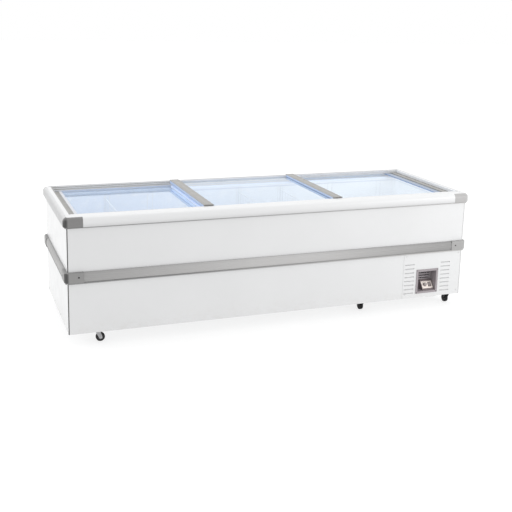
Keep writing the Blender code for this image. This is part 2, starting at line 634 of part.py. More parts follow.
build_panels()
build_tub()
build_rim()
build_lid("lid_left", -OPEN_X + 0.008, MIDDLE_LID[0] + STILE_WIDTH + 0.001, 2)
build_lid("lid_middle", MIDDLE_LID[0], MIDDLE_LID[1], 0, is_bar=True)
build_lid("lid_right", MIDDLE_LID[1] - STILE_WIDTH + 0.0005, OPEN_X - 0.008, 1)
build_grille()
build_controls()
build_machine()
for divider, divider_x in DIVIDERS.items():
    build_divider("divider_" + divider, divider_x)
for castor, (castor_x, castor_y, castor_heading) in CASTORS.items():
    build_castor(castor, castor_x, castor_y, castor_heading)
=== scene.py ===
"""Looks of a long ice cream chest freezer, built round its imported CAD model.

Metres. +X along the length, -Y to the front, +Z up, floor at z = 0. Places come from the frame's boxes and
joints; details that no node marks, such as screws and ribs, have their own numbers.
"""
import json
import math

import bmesh
import bpy
from mathutils import Matrix, Vector

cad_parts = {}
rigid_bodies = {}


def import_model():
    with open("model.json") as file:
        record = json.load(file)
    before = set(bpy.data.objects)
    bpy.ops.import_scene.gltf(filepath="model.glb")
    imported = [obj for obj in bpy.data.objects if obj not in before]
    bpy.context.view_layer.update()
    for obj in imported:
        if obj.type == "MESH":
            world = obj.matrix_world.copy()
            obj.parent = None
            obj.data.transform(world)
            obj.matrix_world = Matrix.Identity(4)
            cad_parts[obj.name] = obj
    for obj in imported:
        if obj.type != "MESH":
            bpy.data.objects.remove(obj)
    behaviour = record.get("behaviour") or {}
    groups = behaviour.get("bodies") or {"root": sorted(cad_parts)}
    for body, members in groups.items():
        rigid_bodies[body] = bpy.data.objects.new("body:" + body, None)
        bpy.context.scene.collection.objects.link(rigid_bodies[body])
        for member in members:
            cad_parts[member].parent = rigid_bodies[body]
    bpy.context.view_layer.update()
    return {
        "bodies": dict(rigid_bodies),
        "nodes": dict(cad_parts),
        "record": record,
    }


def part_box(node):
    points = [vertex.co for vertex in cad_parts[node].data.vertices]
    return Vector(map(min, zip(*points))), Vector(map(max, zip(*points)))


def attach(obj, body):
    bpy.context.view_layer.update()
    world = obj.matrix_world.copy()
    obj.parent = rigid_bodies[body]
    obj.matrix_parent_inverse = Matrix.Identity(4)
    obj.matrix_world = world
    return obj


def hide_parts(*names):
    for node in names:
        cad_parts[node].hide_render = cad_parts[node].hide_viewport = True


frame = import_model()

NODES = frame["nodes"]
JOINTS = {joint["name"]: joint for joint in frame["record"]["behaviour"]["joints"]}

# ---------------------------------------------------------------- camera, light and floor

CAMERA_AT = Vector((-1.8371, -4.8003, 1.8073))
CAMERA_YAW = -0.36355
CAMERA_PITCH = 0.20967
CAMERA_ROLL = 0.02369
LENS = 60.26
SHIFT_Y = -0.125
LIGHTS = (    # name, place, what it is aimed at, size, power
    ("key_left", (-4.5, 0.9, 2.2), (-1.2, 0.0, 0.4), (2.0, 2.0), 46),
    ("fill_right", (2.6, -2.6, 1.3), (1.2, -0.4, 0.4), (1.2, 1.2), 30),
    ("top_rear", (0.5, 1.5, 4.5), (0.0, 0.0, 0.6), (4.0, 1.5), 55),
)
FLOOR_SIZE = 80
FLOOR_GLOW = 0.74    # makes the floor as white as the background


def make_camera():
    forward = Vector((-math.sin(CAMERA_YAW), math.cos(CAMERA_YAW), 0))
    right = Vector((math.cos(CAMERA_YAW), math.sin(CAMERA_YAW), 0))
    look = math.cos(CAMERA_PITCH) * forward - math.sin(CAMERA_PITCH) * Vector((0, 0, 1))
    up = math.cos(CAMERA_PITCH) * Vector((0, 0, 1)) + math.sin(CAMERA_PITCH) * forward
    x_axis = math.cos(CAMERA_ROLL) * right + math.sin(CAMERA_ROLL) * up
    y_axis = -math.sin(CAMERA_ROLL) * right + math.cos(CAMERA_ROLL) * up
    camera = bpy.data.objects.new("camera", bpy.data.cameras.new("camera"))
    camera.matrix_world = Matrix((x_axis, y_axis, -look)).transposed().to_4x4()
    camera.location = CAMERA_AT
    camera.data.lens = LENS
    camera.data.sensor_width = 36.0
    camera.data.shift_y = SHIFT_Y
    bpy.context.scene.collection.objects.link(camera)
    bpy.context.scene.camera = camera


def area_light(name, at, aim, size, power):
    light = bpy.data.lights.new(name, "AREA")
    light.shape = "RECTANGLE"
    light.size, light.size_y = size
    light.energy = power
    lamp = bpy.data.objects.new(name, light)
    lamp.location = at
    lamp.rotation_euler = (Vector(aim) - Vector(at)).to_track_quat("-Z", "Y").to_euler()
    bpy.context.scene.collection.objects.link(lamp)


def make_studio():
    world = bpy.data.worlds.new("studio")
    bpy.context.scene.world = world
    world.use_nodes = True
    background = world.node_tree.nodes["Background"]
    background.inputs["Color"].default_value = (1.0, 1.0, 1.0, 1.0)
    background.inputs["Strength"].default_value = 1.0
    for light in LIGHTS:
        area_light(*light)
    bpy.context.scene.view_settings.view_transform = "Standard"
    bpy.context.scene.view_settings.look = "None"

    bpy.ops.mesh.primitive_plane_add(size=FLOOR_SIZE, location=(0, 0, 0))
    floor = bpy.context.object
    floor.name = "floor"
    shade = Shade("floor_paint", (0.28, 0.28, 0.28), 0.9, {"Emission Strength": FLOOR_GLOW})
    shade.tint(shade.spread(shade.noise(3.0), 0.3, 0.7, 0.0, 0.3), (0.272, 0.273, 0.275))
    shade.shader.inputs["Emission Color"].default_value = (1.0, 1.0, 1.0, 1.0)
    floor.data.materials.append(shade.material)


# ---------------------------------------------------------------- materials

MIX_FIRST, MIX_SECOND, MIX_RESULT = 6, 7, 2    # a Mix node's sockets for colours
FINE_GRAIN = 0.00008                           # depth of the grain on extruded plastic


def scaled(colour, factor, lift=0.0):
    return tuple(factor * c + lift for c in colour)


class Shade:
    """A Principled material, with short-hands for procedural detail placed by object coordinates."""

    def __init__(self, name, colour, roughness, extra=None):
        self.material = bpy.data.materials.new(name)
        self.material.use_nodes = True
        self.tree = self.material.node_tree
        self.shader = self.tree.nodes["Principled BSDF"]
        self.where = self.tree.nodes.new("ShaderNodeTexCoord").outputs["Object"]
        self.shader.inputs["Base Color"].default_value = (*colour, 1.0)
        self.shader.inputs["Roughness"].default_value = roughness
        self.colour = colour
        self.normal = None
        for key, value in (extra or {}).items():
            self.shader.inputs[key].default_value = value

    def feed(self, socket, value):
        """Links another node's output to a socket, or sets the socket to a number or a colour."""
        if isinstance(value, bpy.types.NodeSocket):
            self.tree.links.new(value, socket)
        elif isinstance(value, (tuple, list)) and len(value) == 3 and len(socket.default_value) == 4:
            socket.default_value = (*value, 1.0)
        else:
            socket.default_value = value

    def stretched(self, stretch):
        if stretch is None:
            return self.where
        mapping = self.tree.nodes.new("ShaderNodeMapping")
        mapping.inputs["Scale"].default_value = stretch
        self.feed(mapping.inputs["Vector"], self.where)
        return mapping.outputs["Vector"]

    def noise(self, scale, detail=3.0, roughness=0.5, stretch=None):
        node = self.tree.nodes.new("ShaderNodeTexNoise")
        node.inputs["Scale"].default_value = scale
        node.inputs["Detail"].default_value = detail
        node.inputs["Roughness"].default_value = roughness
        self.feed(node.inputs["Vector"], self.stretched(stretch))
        return node.outputs["Fac"]

    def cells(self, scale):
        node = self.tree.nodes.new("ShaderNodeTexVoronoi")
        node.inputs["Scale"].default_value = scale
        self.feed(node.inputs["Vector"], self.where)
        return node.outputs["Distance"]

    def axis(self, letter):
        node = self.tree.nodes.new("ShaderNodeSeparateXYZ")
        self.feed(node.inputs[0], self.where)
        return node.outputs[letter]

    def facing(self, letter):
        geometry = self.tree.nodes.new("ShaderNodeTexCoord")
        node = self.tree.nodes.new("ShaderNodeSeparateXYZ")
        self.feed(node.inputs[0], geometry.outputs["Normal"])
        return node.outputs[letter]

    def maths(self, operation, first, second=0.0):
        node = self.tree.nodes.new("ShaderNodeMath")
        node.operation = operation
        self.feed(node.inputs[0], first)
        self.feed(node.inputs[1], second)
        return node.outputs[0]

    def times(self, first, second):
        return self.maths("MULTIPLY", first, second)

    def spread(self, value, low, high, to_low=0.0, to_high=1.0):
        """value from low..high stretched to to_low..to_high, and held there beyond."""
        node = self.tree.nodes.new("ShaderNodeMapRange")
        node.clamp = True
        self.feed(node.inputs["Value"], value)
        for key, number in (("From Min", low), ("From Max", high), ("To Min", to_low), ("To Max", to_high)):
            node.inputs[key].default_value = number
        return node.outputs["Result"]

    def tint(self, share, colour):
        """Lays another colour over what is there, as much as share says."""
        node = self.tree.nodes.new("ShaderNodeMix")
        node.data_type = "RGBA"
        self.feed(node.inputs["Factor"], share)
        self.feed(node.inputs[MIX_FIRST], self.colour)
        self.feed(node.inputs[MIX_SECOND], colour)
        self.colour = node.outputs[MIX_RESULT]
        self.feed(self.shader.inputs["Base Color"], self.colour)
        return self

    def glow(self, strength):
        """Makes the surface glow in its own colour: painted light, for a part that is no lamp."""
        self.feed(self.shader.inputs["Emission Color"], self.colour)
        self.feed(self.shader.inputs["Emission Strength"], strength)

    def rough(self, value, low, high, to_low, to_high):
        self.feed(self.shader.inputs["Roughness"], self.spread(value, low, high, to_low, to_high))
        return self

    def bump(self, height, depth, strength=1.0):
        node = self.tree.nodes.new("ShaderNodeBump")
        node.inputs["Strength"].default_value = strength
        node.inputs["Distance"].default_value = depth
        self.feed(node.inputs["Height"], height)
        if self.normal is not None:
            self.feed(node.inputs["Normal"], self.normal)
        self.normal = node.outputs["Normal"]
        self.feed(self.shader.inputs["Normal"], self.normal)
        return self


def painted_steel(name, colour):
    """Stove enamel on sheet steel: slight orange peel, slow waves, dust low down and a few rubs."""
    shade = Shade(name, colour, 0.34, {"Coat Weight": 0.25, "Coat Roughness": 0.12})
    darker = scaled(colour, 0.965)
    shade.tint(shade.spread(shade.noise(2.2, 4.0), 0.35, 0.65, 0.0, 0.75), darker)
    low_down = shade.spread(shade.axis("Z"), 0.080, 0.190, 1.0, 0.0)
    grime = shade.spread(shade.noise(28.0, 6.0, 0.65), 0.45, 0.75)
    shade.tint(shade.times(shade.times(low_down, grime), 0.22), (0.52, 0.49, 0.45))
    rubs = shade.spread(shade.noise(60.0, 8.0, 0.7, (0.25, 0.25, 3.0)), 0.68, 0.78)
    shade.tint(shade.times(rubs, 0.12), (0.60, 0.60, 0.60))
    shade.rough(shade.noise(14.0, 5.0), 0.3, 0.7, 0.28, 0.44)
    shade.bump(shade.noise(1.7, 1.0), 0.0018)
    shade.bump(shade.noise(620.0, 2.0), 0.00006)
    return shade.material


def extruded_shade(name, colour, along, gloss):
    """Extruded profile: die lines along its length, a fine grain, small scuffs on it."""
    shade = Shade(name, colour, gloss)
    stretch = {"X": (0.6, 260.0, 260.0), "Y": (260.0, 0.6, 260.0), "Z": (260.0, 260.0, 0.6)}[along]
    lines = shade.noise(1.0, stretch=stretch)
    shade.tint(shade.spread(lines, 0.35, 0.65, 0.0, 0.5), scaled(colour, 0.93))
    scuffs = shade.spread(shade.noise(90.0, 7.0, 0.72), 0.66, 0.76)
    shade.tint(shade.times(scuffs, 0.20), scaled(colour, 0.5, 0.22))
    shade.tint(shade.spread(shade.noise(5.0), 0.4, 0.7, 0.0, 0.35), scaled(colour, 0.95))
    shade.rough(shade.noise(35.0, 5.0), 0.3, 0.7, gloss - 0.06, gloss + 0.12)
    shade.bump(lines, FINE_GRAIN)
    shade.bump(shade.noise(1500.0, 2.0), FINE_GRAIN * 0.4)
    return shade


def extruded_plastic(name, colour, along, gloss):
    return extruded_shade(name, colour, along, gloss).material


def moulded_shade(name, colour, gloss):
    """Injection moulded plastic: spark grain, slow colour drift, scuffs."""
    shade = Shade(name, colour, gloss)
    shade.tint(shade.spread(shade.noise(9.0, 4.0), 0.35, 0.7, 0.0, 0.6), scaled(colour, 0.90))
    scuffs = shade.spread(shade.noise(140.0, 7.0, 0.7), 0.66, 0.76)
    shade.tint(shade.times(scuffs, 0.3), scaled(colour, 0.5, 0.2))
    shade.rough(shade.noise(50.0, 5.0), 0.3, 0.7, gloss - 0.08, gloss + 0.12)
    shade.bump(shade.cells(1300.0), 0.00012)
    return shade


def moulded_plastic(name, colour, gloss=0.5):
    return moulded_shade(name, colour, gloss).material


def corner_plastic(name, colour, dark, pale):
    """Moulded grey plastic. dark, pale: how much painted shade darkens its left end and how much painted
    light pales its right end.
    """
    shade = moulded_shade(name, colour, 0.46)
    across = shade.axis("X")
    shade.tint(shade.spread(across, -1.15, 0.0, dark, 0.0), scaled(colour, 0.3))
    shade.tint(shade.spread(across, 0.0, 1.15, 0.0, pale), scaled(colour, 2.2))
    # Painted shade: the bend of the moulding is darkened, the more so towards the left.
    bend = shade.maths("ABSOLUTE", shade.times(shade.facing("X"), shade.facing("Y")))
    leftward = shade.spread(across, -1.15, 0.6, 0.92, 0.0)
    shade.tint(shade.times(shade.spread(bend, 0.08, 0.40), leftward), scaled(colour, 0.12))
    return shade.material


def rim_plastic(name, colour, along):
    """White rim profile, paler up top as a painted highlight, and greyer as painted shade low down, at the
    right end and on the faces that look left.
    """
    shade = extruded_shade(name, colour, along, 0.38)
    # Painted highlight along the top; painted shade low down, on left-facing faces and at the right end.
    shade.tint(shade.spread(shade.axis("Z"), 0.690, 0.712), scaled(colour, 1.05))
    shade.tint(shade.spread(shade.axis("Z"), 0.673, 0.692, 0.9, 0.0), scaled(colour, 0.81))
    leftward = shade.times(shade.facing("X"), -1.0)
    shade.tint(shade.spread(leftward, 0.05, 0.95, 0.0, 0.80), scaled(colour, 0.52))
    shade.tint(shade.spread(shade.axis("X"), 1.190, 1.225, 0.0, 0.55), scaled(colour, 0.70))
    return shade.material


def band_plastic(name, colour, along):
    """Extruded grey band, palest in the middle of the cabinet as a painted highlight, and darker at its
    right end as painted shade.
    """
    shade = extruded_shade(name, colour, along, 0.42)
    from_middle = shade.maths("ABSOLUTE", shade.axis("X"))
    # Painted highlight in the middle, painted shade at the right end.
    shade.tint(shade.spread(from_middle, 0.15, 1.15, 0.62, 0.08), scaled(colour, 1.95))
    shade.tint(shade.spread(shade.axis("X"), 0.35, 1.15, 0.0, 0.42), scaled(colour, 0.60))
    return shade.material


def lip_plastic(name, colour):
    """Dark lip, painted shade for the shadow line under a moulding, paler towards the right end."""
    shade = extruded_shade(name, colour, "X", 0.55)
    # Painted shade made lighter towards the right end.
    shade.tint(shade.spread(shade.axis("X"), -0.7, 1.1, 0.0, 0.70), (0.52, 0.51, 0.50))
    return shade.material


def track_plastic(name, colour, inner, mouth):
    """Extruded lid track with painted light: paler from the middle bay on, bluish low down, and inside its
    slots, beyond the mouth, pale and glowing.
    """
    shade = extruded_shade(name, colour, "X", 0.36)
    # Painted light: paler from the middle bay on, bluish low down, and pale and glowing inside the slots.
    shade.tint(shade.spread(shade.axis("X"), -0.50, -0.30, 0.0, 0.62), (0.74, 0.77, 0.83))
    shade.tint(shade.spread(shade.axis("X"), 0.38, 0.50, 0.0, 0.35), colour)
    shade.tint(shade.spread(shade.axis("Z"), 0.700, 0.706, 0.85, 0.0), (0.52, 0.60, 0.76))
    depth = shade.maths("SUBTRACT", shade.maths("ABSOLUTE", shade.axis("Y")), mouth)
    inside = shade.spread(depth, 0.0004, 0.0050, 0.0, 1.0)
    shade.tint(inside, inner)
    shade.glow(shade.times(inside, 0.55))
    return shade.material


def lit_plastic(name, colour, glow):
    """Pale plastic at the mouth of the tub, made to glow: painted light where it would lie in shade."""
    shade = extruded_shade(name, colour, "X", 0.40)
    shade.glow(glow)
    return shade.material


def bar_plastic(name, colour, under):
    """Lid bar: grey extrusion whose downward faces are pale and glow, painted light where its underside lies
    in shade.
    """
    shade = extruded_shade(name, colour, "Y", 0.36)
    # Painted light: the downward faces are pale and glow.
    downward = shade.spread(shade.facing("Z"), -0.9, -0.5, 1.0, 0.0)
    shade.tint(downward, under)
    shade.glow(shade.times(downward, 0.35))
    return shade.material


def plain_metal(name, colour, roughness, spangle=0.0, metallic=0.9):
    """Bare or zinc plated metal. spangle: how much its crystals show."""
    shade = Shade(name, colour, roughness, {"Metallic": metallic})
    shade.tint(shade.spread(shade.cells(140.0), 0.1, 0.9, 0.0, spangle), scaled(colour, 0.62))
    stains = shade.spread(shade.noise(55.0, 6.0, 0.6), 0.52, 0.75, 0.0, 0.35)
    shade.tint(stains, scaled(colour, 0.70))
    shade.rough(shade.noise(90.0, 5.0), 0.3, 0.7, roughness - 0.1, roughness + 0.15)
    shade.bump(shade.noise(420.0, 3.0, 0.6, (1.0, 1.0, 0.2)), 0.00008)
    return shade.material


def rubber(name, colour=(0.010, 0.010, 0.011)):
    """Matt rubber with dust rubbed into it."""
    shade = Shade(name, colour, 0.62, {"Specular IOR Level": 0.2})
    shade.tint(shade.spread(shade.noise(70.0, 6.0, 0.65), 0.45, 0.75, 0.0, 0.35), (0.035, 0.034, 0.032))
    shade.rough(shade.noise(160.0, 4.0), 0.3, 0.7, 0.52, 0.78)
    shade.bump(shade.noise(900.0, 4.0, 0.6), 0.00015)
    return shade.material


def clear_glass(name, body_tint):
    """Toughened pane: passes light with a slight tint and mirrors by Fresnel, with faint wiping marks."""
    shade = Shade(name, (1.0, 1.0, 1.0), 0.02)
    tree = shade.tree
    mirror = tree.nodes.new("ShaderNodeBsdfGlossy")
    mirror.inputs["Color"].default_value = (0.925, 0.953, 0.972, 1.0)
    smears = shade.noise(7.0, 6.0, 0.6, (1.0, 3.5, 1.0))
    shade.feed(mirror.inputs["Roughness"], shade.spread(smears, 0.35, 0.75, 0.015, 0.10))
    clear = tree.nodes.new("ShaderNodeBsdfTransparent")
    mix = tree.nodes.new("ShaderNodeMix")
    mix.data_type = "RGBA"
    shade.feed(mix.inputs["Factor"], shade.spread(shade.noise(3.0), 0.3, 0.7))
    shade.feed(mix.inputs[MIX_FIRST], body_tint)
    shade.feed(mix.inputs[MIX_SECOND], scaled(body_tint, 0.985))
    shade.feed(clear.inputs["Color"], mix.outputs[MIX_RESULT])

    # Schlick's curve gives one face's share, and two faces together mirror 2r / (1 + r).
    glance = tree.nodes.new("ShaderNodeLayerWeight")
    glance.inputs["Blend"].default_value = 0.5
    steep = shade.maths("POWER", glance.outputs["Facing"], 5.0)
    one_face = shade.maths("ADD", shade.times(steep, 0.94), 0.05)
    both = shade.maths("DIVIDE", shade.times(one_face, 2.0), shade.maths("ADD", one_face, 1.0))
    side = tree.nodes.new("ShaderNodeNewGeometry")
    outer_face = shade.maths("SUBTRACT", 1.0, side.outputs["Backfacing"])
    blend = tree.nodes.new("ShaderNodeMixShader")
    shade.feed(blend.inputs["Fac"], shade.times(both, outer_face))
    tree.links.new(clear.outputs[0], blend.inputs[1])
    tree.links.new(mirror.outputs[0], blend.inputs[2])
    tree.links.new(blend.outputs[0], tree.nodes["Material Output"].inputs["Surface"])
    tree.nodes.remove(shade.shader)
    return shade.material


LOAD_LINE = (0.6680, 0.6765)    # heights of the printed load line on the tub's walls


def cold_liner(name, colour, frost_and_painted_light):
    """Enamelled tub wall, bluish and frosted near the rim, with painted light: whiter to the right, and
    glowing.
    """
    shade = Shade(name, colour, 0.30, {"Coat Weight": 0.2, "Coat Roughness": 0.1})
    up = shade.axis("Z")
    shade.tint(shade.spread(shade.noise(3.5), 0.35, 0.7, 0.0, 0.6), scaled(colour, 0.95))
    patches = shade.spread(shade.noise(22.0, 7.0, 0.66), 0.48, 0.66)
    cover = shade.times(shade.times(shade.spread(up, 0.48, 0.68), patches), 0.7)
    shade.tint(cover, frost_and_painted_light)
    shade.rough(patches, 0.0, 1.0, 0.28, 0.62)
    # Painted light: whiter towards the right.
    shade.tint(shade.spread(shade.axis("X"), -0.75, 0.45, 0.0, 0.88), frost_and_painted_light)
    above = shade.spread(up, LOAD_LINE[0], LOAD_LINE[0] + 0.0004)
    below = shade.spread(up, LOAD_LINE[1] - 0.0004, LOAD_LINE[1], 1.0, 0.0)
    shade.tint(shade.times(shade.times(above, below), 0.55), (0.42, 0.50, 0.68))
    shade.bump(shade.times(shade.noise(260.0, 5.0, 0.7), cover), 0.0006)
    shade.bump(shade.noise(500.0, 2.0), 0.00005)
    # Painted light: the walls glow, most near the top and towards the right.
    height = shade.spread(up, 0.52, 0.625, 0.40, 1.0)
    strength = shade.spread(shade.axis("X"), -0.9, 0.9, 0.15, 0.19)
    shade.glow(shade.times(height, strength))
    return shade.material


WHITE = (0.652, 0.655, 0.659)
RIM_WHITE = (0.655, 0.659, 0.663)
GREY = (0.255, 0.252, 0.250)
LID_GREY = (0.308, 0.303, 0.290)
TRACK_GREY = (0.43, 0.425, 0.415)
# Colour painted inside the tracks' slots as painted light.
SLOT_PAINTED_LIGHT = (0.46, 0.462, 0.468)
OPEN_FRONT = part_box("lid_track_front")[1][1]    # the opening between the tracks
OPEN_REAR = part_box("lid_track_rear")[0][1]


def make_looks():
    return {
        "paint": painted_steel("white_enamel", WHITE),
        "rim_x": rim_plastic("white_rim_along_x", RIM_WHITE, "X"),
        "rim_y": rim_plastic("white_rim_along_y", RIM_WHITE, "Y"),
        "band_x": band_plastic("grey_band_along_x", (0.278, 0.275, 0.273), "X"),
        "band_y": band_plastic("grey_band_along_y", (0.300, 0.297, 0.295), "Y"),
        # Corner mouldings: darker at the left and in the bends as painted shade, paler at the right as
        # painted light.
        "corner": corner_plastic("grey_corner_plastic", GREY, 0.34, 0.44),
        "band_corner": corner_plastic("grey_band_corner", (0.275, 0.272, 0.270), 0.16, 0.14),
        # Dark lips that paint the shadow lines under the rim and the band.
        "lip": lip_plastic("lip_painted_shade", (0.23, 0.23, 0.23)),
        # Painted light in the tracks: paler from the middle bay on, bluish low down, glowing inside the
        # slots.
        "track_front": track_plastic("front_track", TRACK_GREY, SLOT_PAINTED_LIGHT, -OPEN_FRONT),
        "track_rear": track_plastic("rear_track", TRACK_GREY, SLOT_PAINTED_LIGHT, OPEN_REAR),
        "lid_y": extruded_plastic("lid_profile_along_y", LID_GREY, "Y", 0.36),
        # The bar's downward faces are pale and glow as painted light.
        "bar": bar_plastic("lid_bar", LID_GREY, (0.72, 0.80, 0.94)),
        "cap": moulded_plastic("lid_cap_plastic", (0.24, 0.235, 0.225), 0.5),
        # Painted shade: the dark strip in the end stiles' finger recesses.
        "recess": extruded_plastic("recess_painted_shade", (0.11, 0.108, 0.105), "Y", 0.55),
        # Painted shade and reflection: the blue of this seal.
        "seal": extruded_plastic("blue_seal_painted_shade", (0.16, 0.24, 0.42), "Y", 0.55),
        "bead": extruded_plastic("white_bead", (0.80, 0.82, 0.85), "Y", 0.4),
        "soft_bead": extruded_plastic("pale_glazing_bead", (0.62, 0.64, 0.68), "Y", 0.45),
        # Painted shade: the blue blades at the foot of the bars.
        "blade": extruded_plastic("bar_blade_painted_shade", (0.25, 0.34, 0.55), "Y", 0.5),
        # Painted light: the stiles under the bars are pale and glow.
        "stile_painted_light": lit_plastic("stile_painted_light", (0.70, 0.77, 0.90), 0.07),
        # Painted shade and reflection: the blue of these strips.
        "pale_seal": extruded_plastic("pale_blue_seal_painted_shade", (0.31, 0.36, 0.45), "Y", 0.45),
        "side_seal": extruded_plastic("bar_side_seal_painted_shade", (0.45, 0.54, 0.71), "Y", 0.45),
        "gasket": rubber("corner_gasket_rubber", (0.10, 0.10, 0.10)),
        # The right end's gaskets are pale as painted light.
        "gasket_painted_light": extruded_plastic("corner_gasket_painted_light", (0.46, 0.46, 0.46), "Z", 0.5),
        "glass": clear_glass("toughened_glass", (0.948, 0.972, 0.988)),
        # Painted light: the tub walls are whiter to the right and glow.
        "liner": cold_liner("tub_enamel", (0.69, 0.78, 0.92), (0.90, 0.92, 0.945)),
        # Painted light: the breaker frame glows.
        "breaker": lit_plastic("breaker_plastic_painted_light", (0.64, 0.73, 0.90), 0.28),
        "wire": extruded_plastic("coated_wire", (0.84, 0.88, 0.93), "Z", 0.32),
        "bezel": moulded_plastic("bezel_plastic", (0.30, 0.27, 0.285), 0.5),
        "console": moulded_plastic("console_plastic", (0.20, 0.165, 0.17), 0.45),
        "plate": moulded_plastic("cream_plate", (0.86, 0.78, 0.73), 0.42),
        "dial": moulded_plastic("dial_plastic", (0.33, 0.29, 0.285), 0.45),
        "black": moulded_plastic("black_plastic", (0.022, 0.021, 0.021), 0.45),
        "print": moulded_plastic("printed_marks", (0.05, 0.05, 0.055), 0.6),
        "pointer": moulded_plastic("white_pointer", (0.85, 0.85, 0.85), 0.5),
        "zinc": plain_metal("zinc_plate", (0.62, 0.63, 0.64), 0.38, 0.35),
        "screw": plain_metal("screw_steel", (0.46, 0.46, 0.47), 0.30),
        # Black: the trim screws, and the forks of all but the left castors as painted shade.
        "dark_metal_and_painted_shade": moulded_plastic("black_metal_and_fork_painted_shade", (0.007, 0.007, 0.008), 0.62),
        "aluminium": plain_metal("aluminium_fins", (0.74, 0.75, 0.77), 0.34, 0.1, 1.0),
        "copper": plain_metal("copper_tube", (0.80, 0.42, 0.27), 0.30, 0.1, 1.0),
        "enamel": moulded_plastic("black_pot_enamel", (0.018, 0.018, 0.020), 0.32),
        "tyre": rubber("tyre_rubber"),
        "hub": moulded_plastic("hub_plastic", (0.030, 0.030, 0.031), 0.5),
        "fork": plain_metal("grey_fork", (0.40, 0.40, 0.41), 0.40, 0.25, 0.6),
        "foam": rubber("dark_joint_filler", (0.055, 0.055, 0.055)),
    }


LOOKS = make_looks()

NODE_LOOKS = {
    "paint": ("front_panel", "rear_panel", "left_end_panel", "right_end_panel", "grille_panel"),
    "rim_x": ("top_cover", "bumper_front", "bumper_rear"),
    "rim_y": ("bumper_left", "bumper_right"),
    "track_front": ("lid_track_front",),
    "track_rear": ("lid_track_rear",),
    "lid_y": ("lid_left_stile_left", "lid_right_stile_right"),
    # Painted light: these stiles, under the bars, are pale and glow.
    "stile_painted_light": ("lid_left_stile_right", "lid_right_stile_left"),
    "glass": ("lid_left_glass", "lid_middle_glass", "lid_right_glass"),
    "liner": ("inner_liner",),
    "breaker": ("breaker_frame",),
    "foam": ("foam_body",),
    "zinc": ("base_pan", "fan_motor"),
    "bezel": ("control_bezel",),
    "console": ("control_console",),
    "dial": ("power_switch",),
    "enamel": ("compressor",),
    "aluminium": ("condenser", "condenser_fan"),
    "corner": tuple(name for name in NODES if name.startswith("bumper_corner_")),
    "band_corner": tuple(name for name in NODES if name.startswith("band_corner_")),
}


# Painted shade: the forks of all but the left castors are black, while the left ones are grey.
def fork_look(castor):
    return "fork" if castor.endswith("_left") else "dark_metal_and_painted_shade"


def dress(name, look):
    for slot in NODES[name].material_slots:
        slot.material = LOOKS[look]


def dress_nodes():
    for look, names in NODE_LOOKS.items():
        for name in names:
            dress(name, look)
    for name in NODES:
        if name.startswith("castor_fork_"):
            dress(name, fork_look(name))


# ---------------------------------------------------------------- making pieces

def finish_mesh(name, bm, look, body, smooth=30.0, replaces=()):
    """Turns a bmesh into a piece that rides on a body."""
    bmesh.ops.recalc_face_normals(bm, faces=bm.faces)
    mesh = bpy.data.meshes.new(name)
    bm.to_mesh(mesh)
    bm.free()
    mesh.materials.append(LOOKS[look])
    mesh.shade_smooth()
    mesh.set_sharp_from_angle(angle=math.radians(smooth))
    piece = bpy.data.objects.new(name, mesh)
    bpy.context.scene.collection.objects.link(piece)
    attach(piece, body)
    if replaces:
        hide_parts(*replaces)
    return piece


def skin(bm, rings, ends=True):
    """Joins each ring of points to the next. ends: closes the first and the last ring with a face."""
    for first, second in zip(rings, rings[1:]):
        for i in range(len(first)):
            j = (i + 1) % len(first)
            bm.faces.new((first[i], first[j], second[j], second[i]))
    if ends:
        bm.faces.new(rings[0])
        bm.faces.new(rings[-1])


def circle(steps):
    """(cosine, sine) at each step round a circle."""
    return [(math.cos(2 * math.pi * k / steps), math.sin(2 * math.pi * k / steps)) for k in range(steps)]


def add_prism(bm, outline, start, end, at):
    """Adds a bar: outline is a list of 2-D points, and at(a, b, t) places one of them at length t."""
    skin(bm, [[bm.verts.new(at(a, b, t)) for a, b in outline] for t in (start, end)])


def along_y(middle=0.0, sign=1):
    """A placer for add_prism: the outline's points are (across, up), and the bar runs along Y."""
    return lambda a, b, t: (middle + sign * a, t, b)


def add_box(bm, low, high, bevel=0.0, matrix=None):
    """Adds a box between two corners, placed by the matrix if there is one."""
    before = set(bm.verts)
    low, high = Vector(low), Vector(high)
    made = bmesh.ops.create_cube(bm, size=1.0)["verts"]
    bmesh.ops.scale(bm, vec=high - low, verts=made)
    bmesh.ops.translate(bm, vec=(low + high) / 2, verts=made)
    if bevel:
        edges = {edge for vert in made for edge in vert.link_edges}
        bmesh.ops.bevel(bm, geom=list(edges), offset=bevel, segments=2, profile=0.5, affect="EDGES")
    if matrix is not None:
        bmesh.ops.transform(bm, matrix=matrix, verts=[vert for vert in bm.verts if vert not in before])


def add_tube(bm, points, radius, sides=8):
    """Adds a round bar along a path, with closed ends. Each ring stands square to the path."""
    points = [Vector(p) for p in points]
    rings = []
    side = None
    for i, point in enumerate(points):
        before = points[max(i - 1, 0)]
        after = points[min(i + 1, len(points) - 1)]
        along = (after - before).normalized()
        if side is None:
            side = along.orthogonal().normalized()
        side = (side - along * side.dot(along)).normalized()
        other = along.cross(side)
        rings.append([bm.verts.new(point + radius * (c * side + s * other)) for c, s in circle(sides)])
    skin(bm, rings)


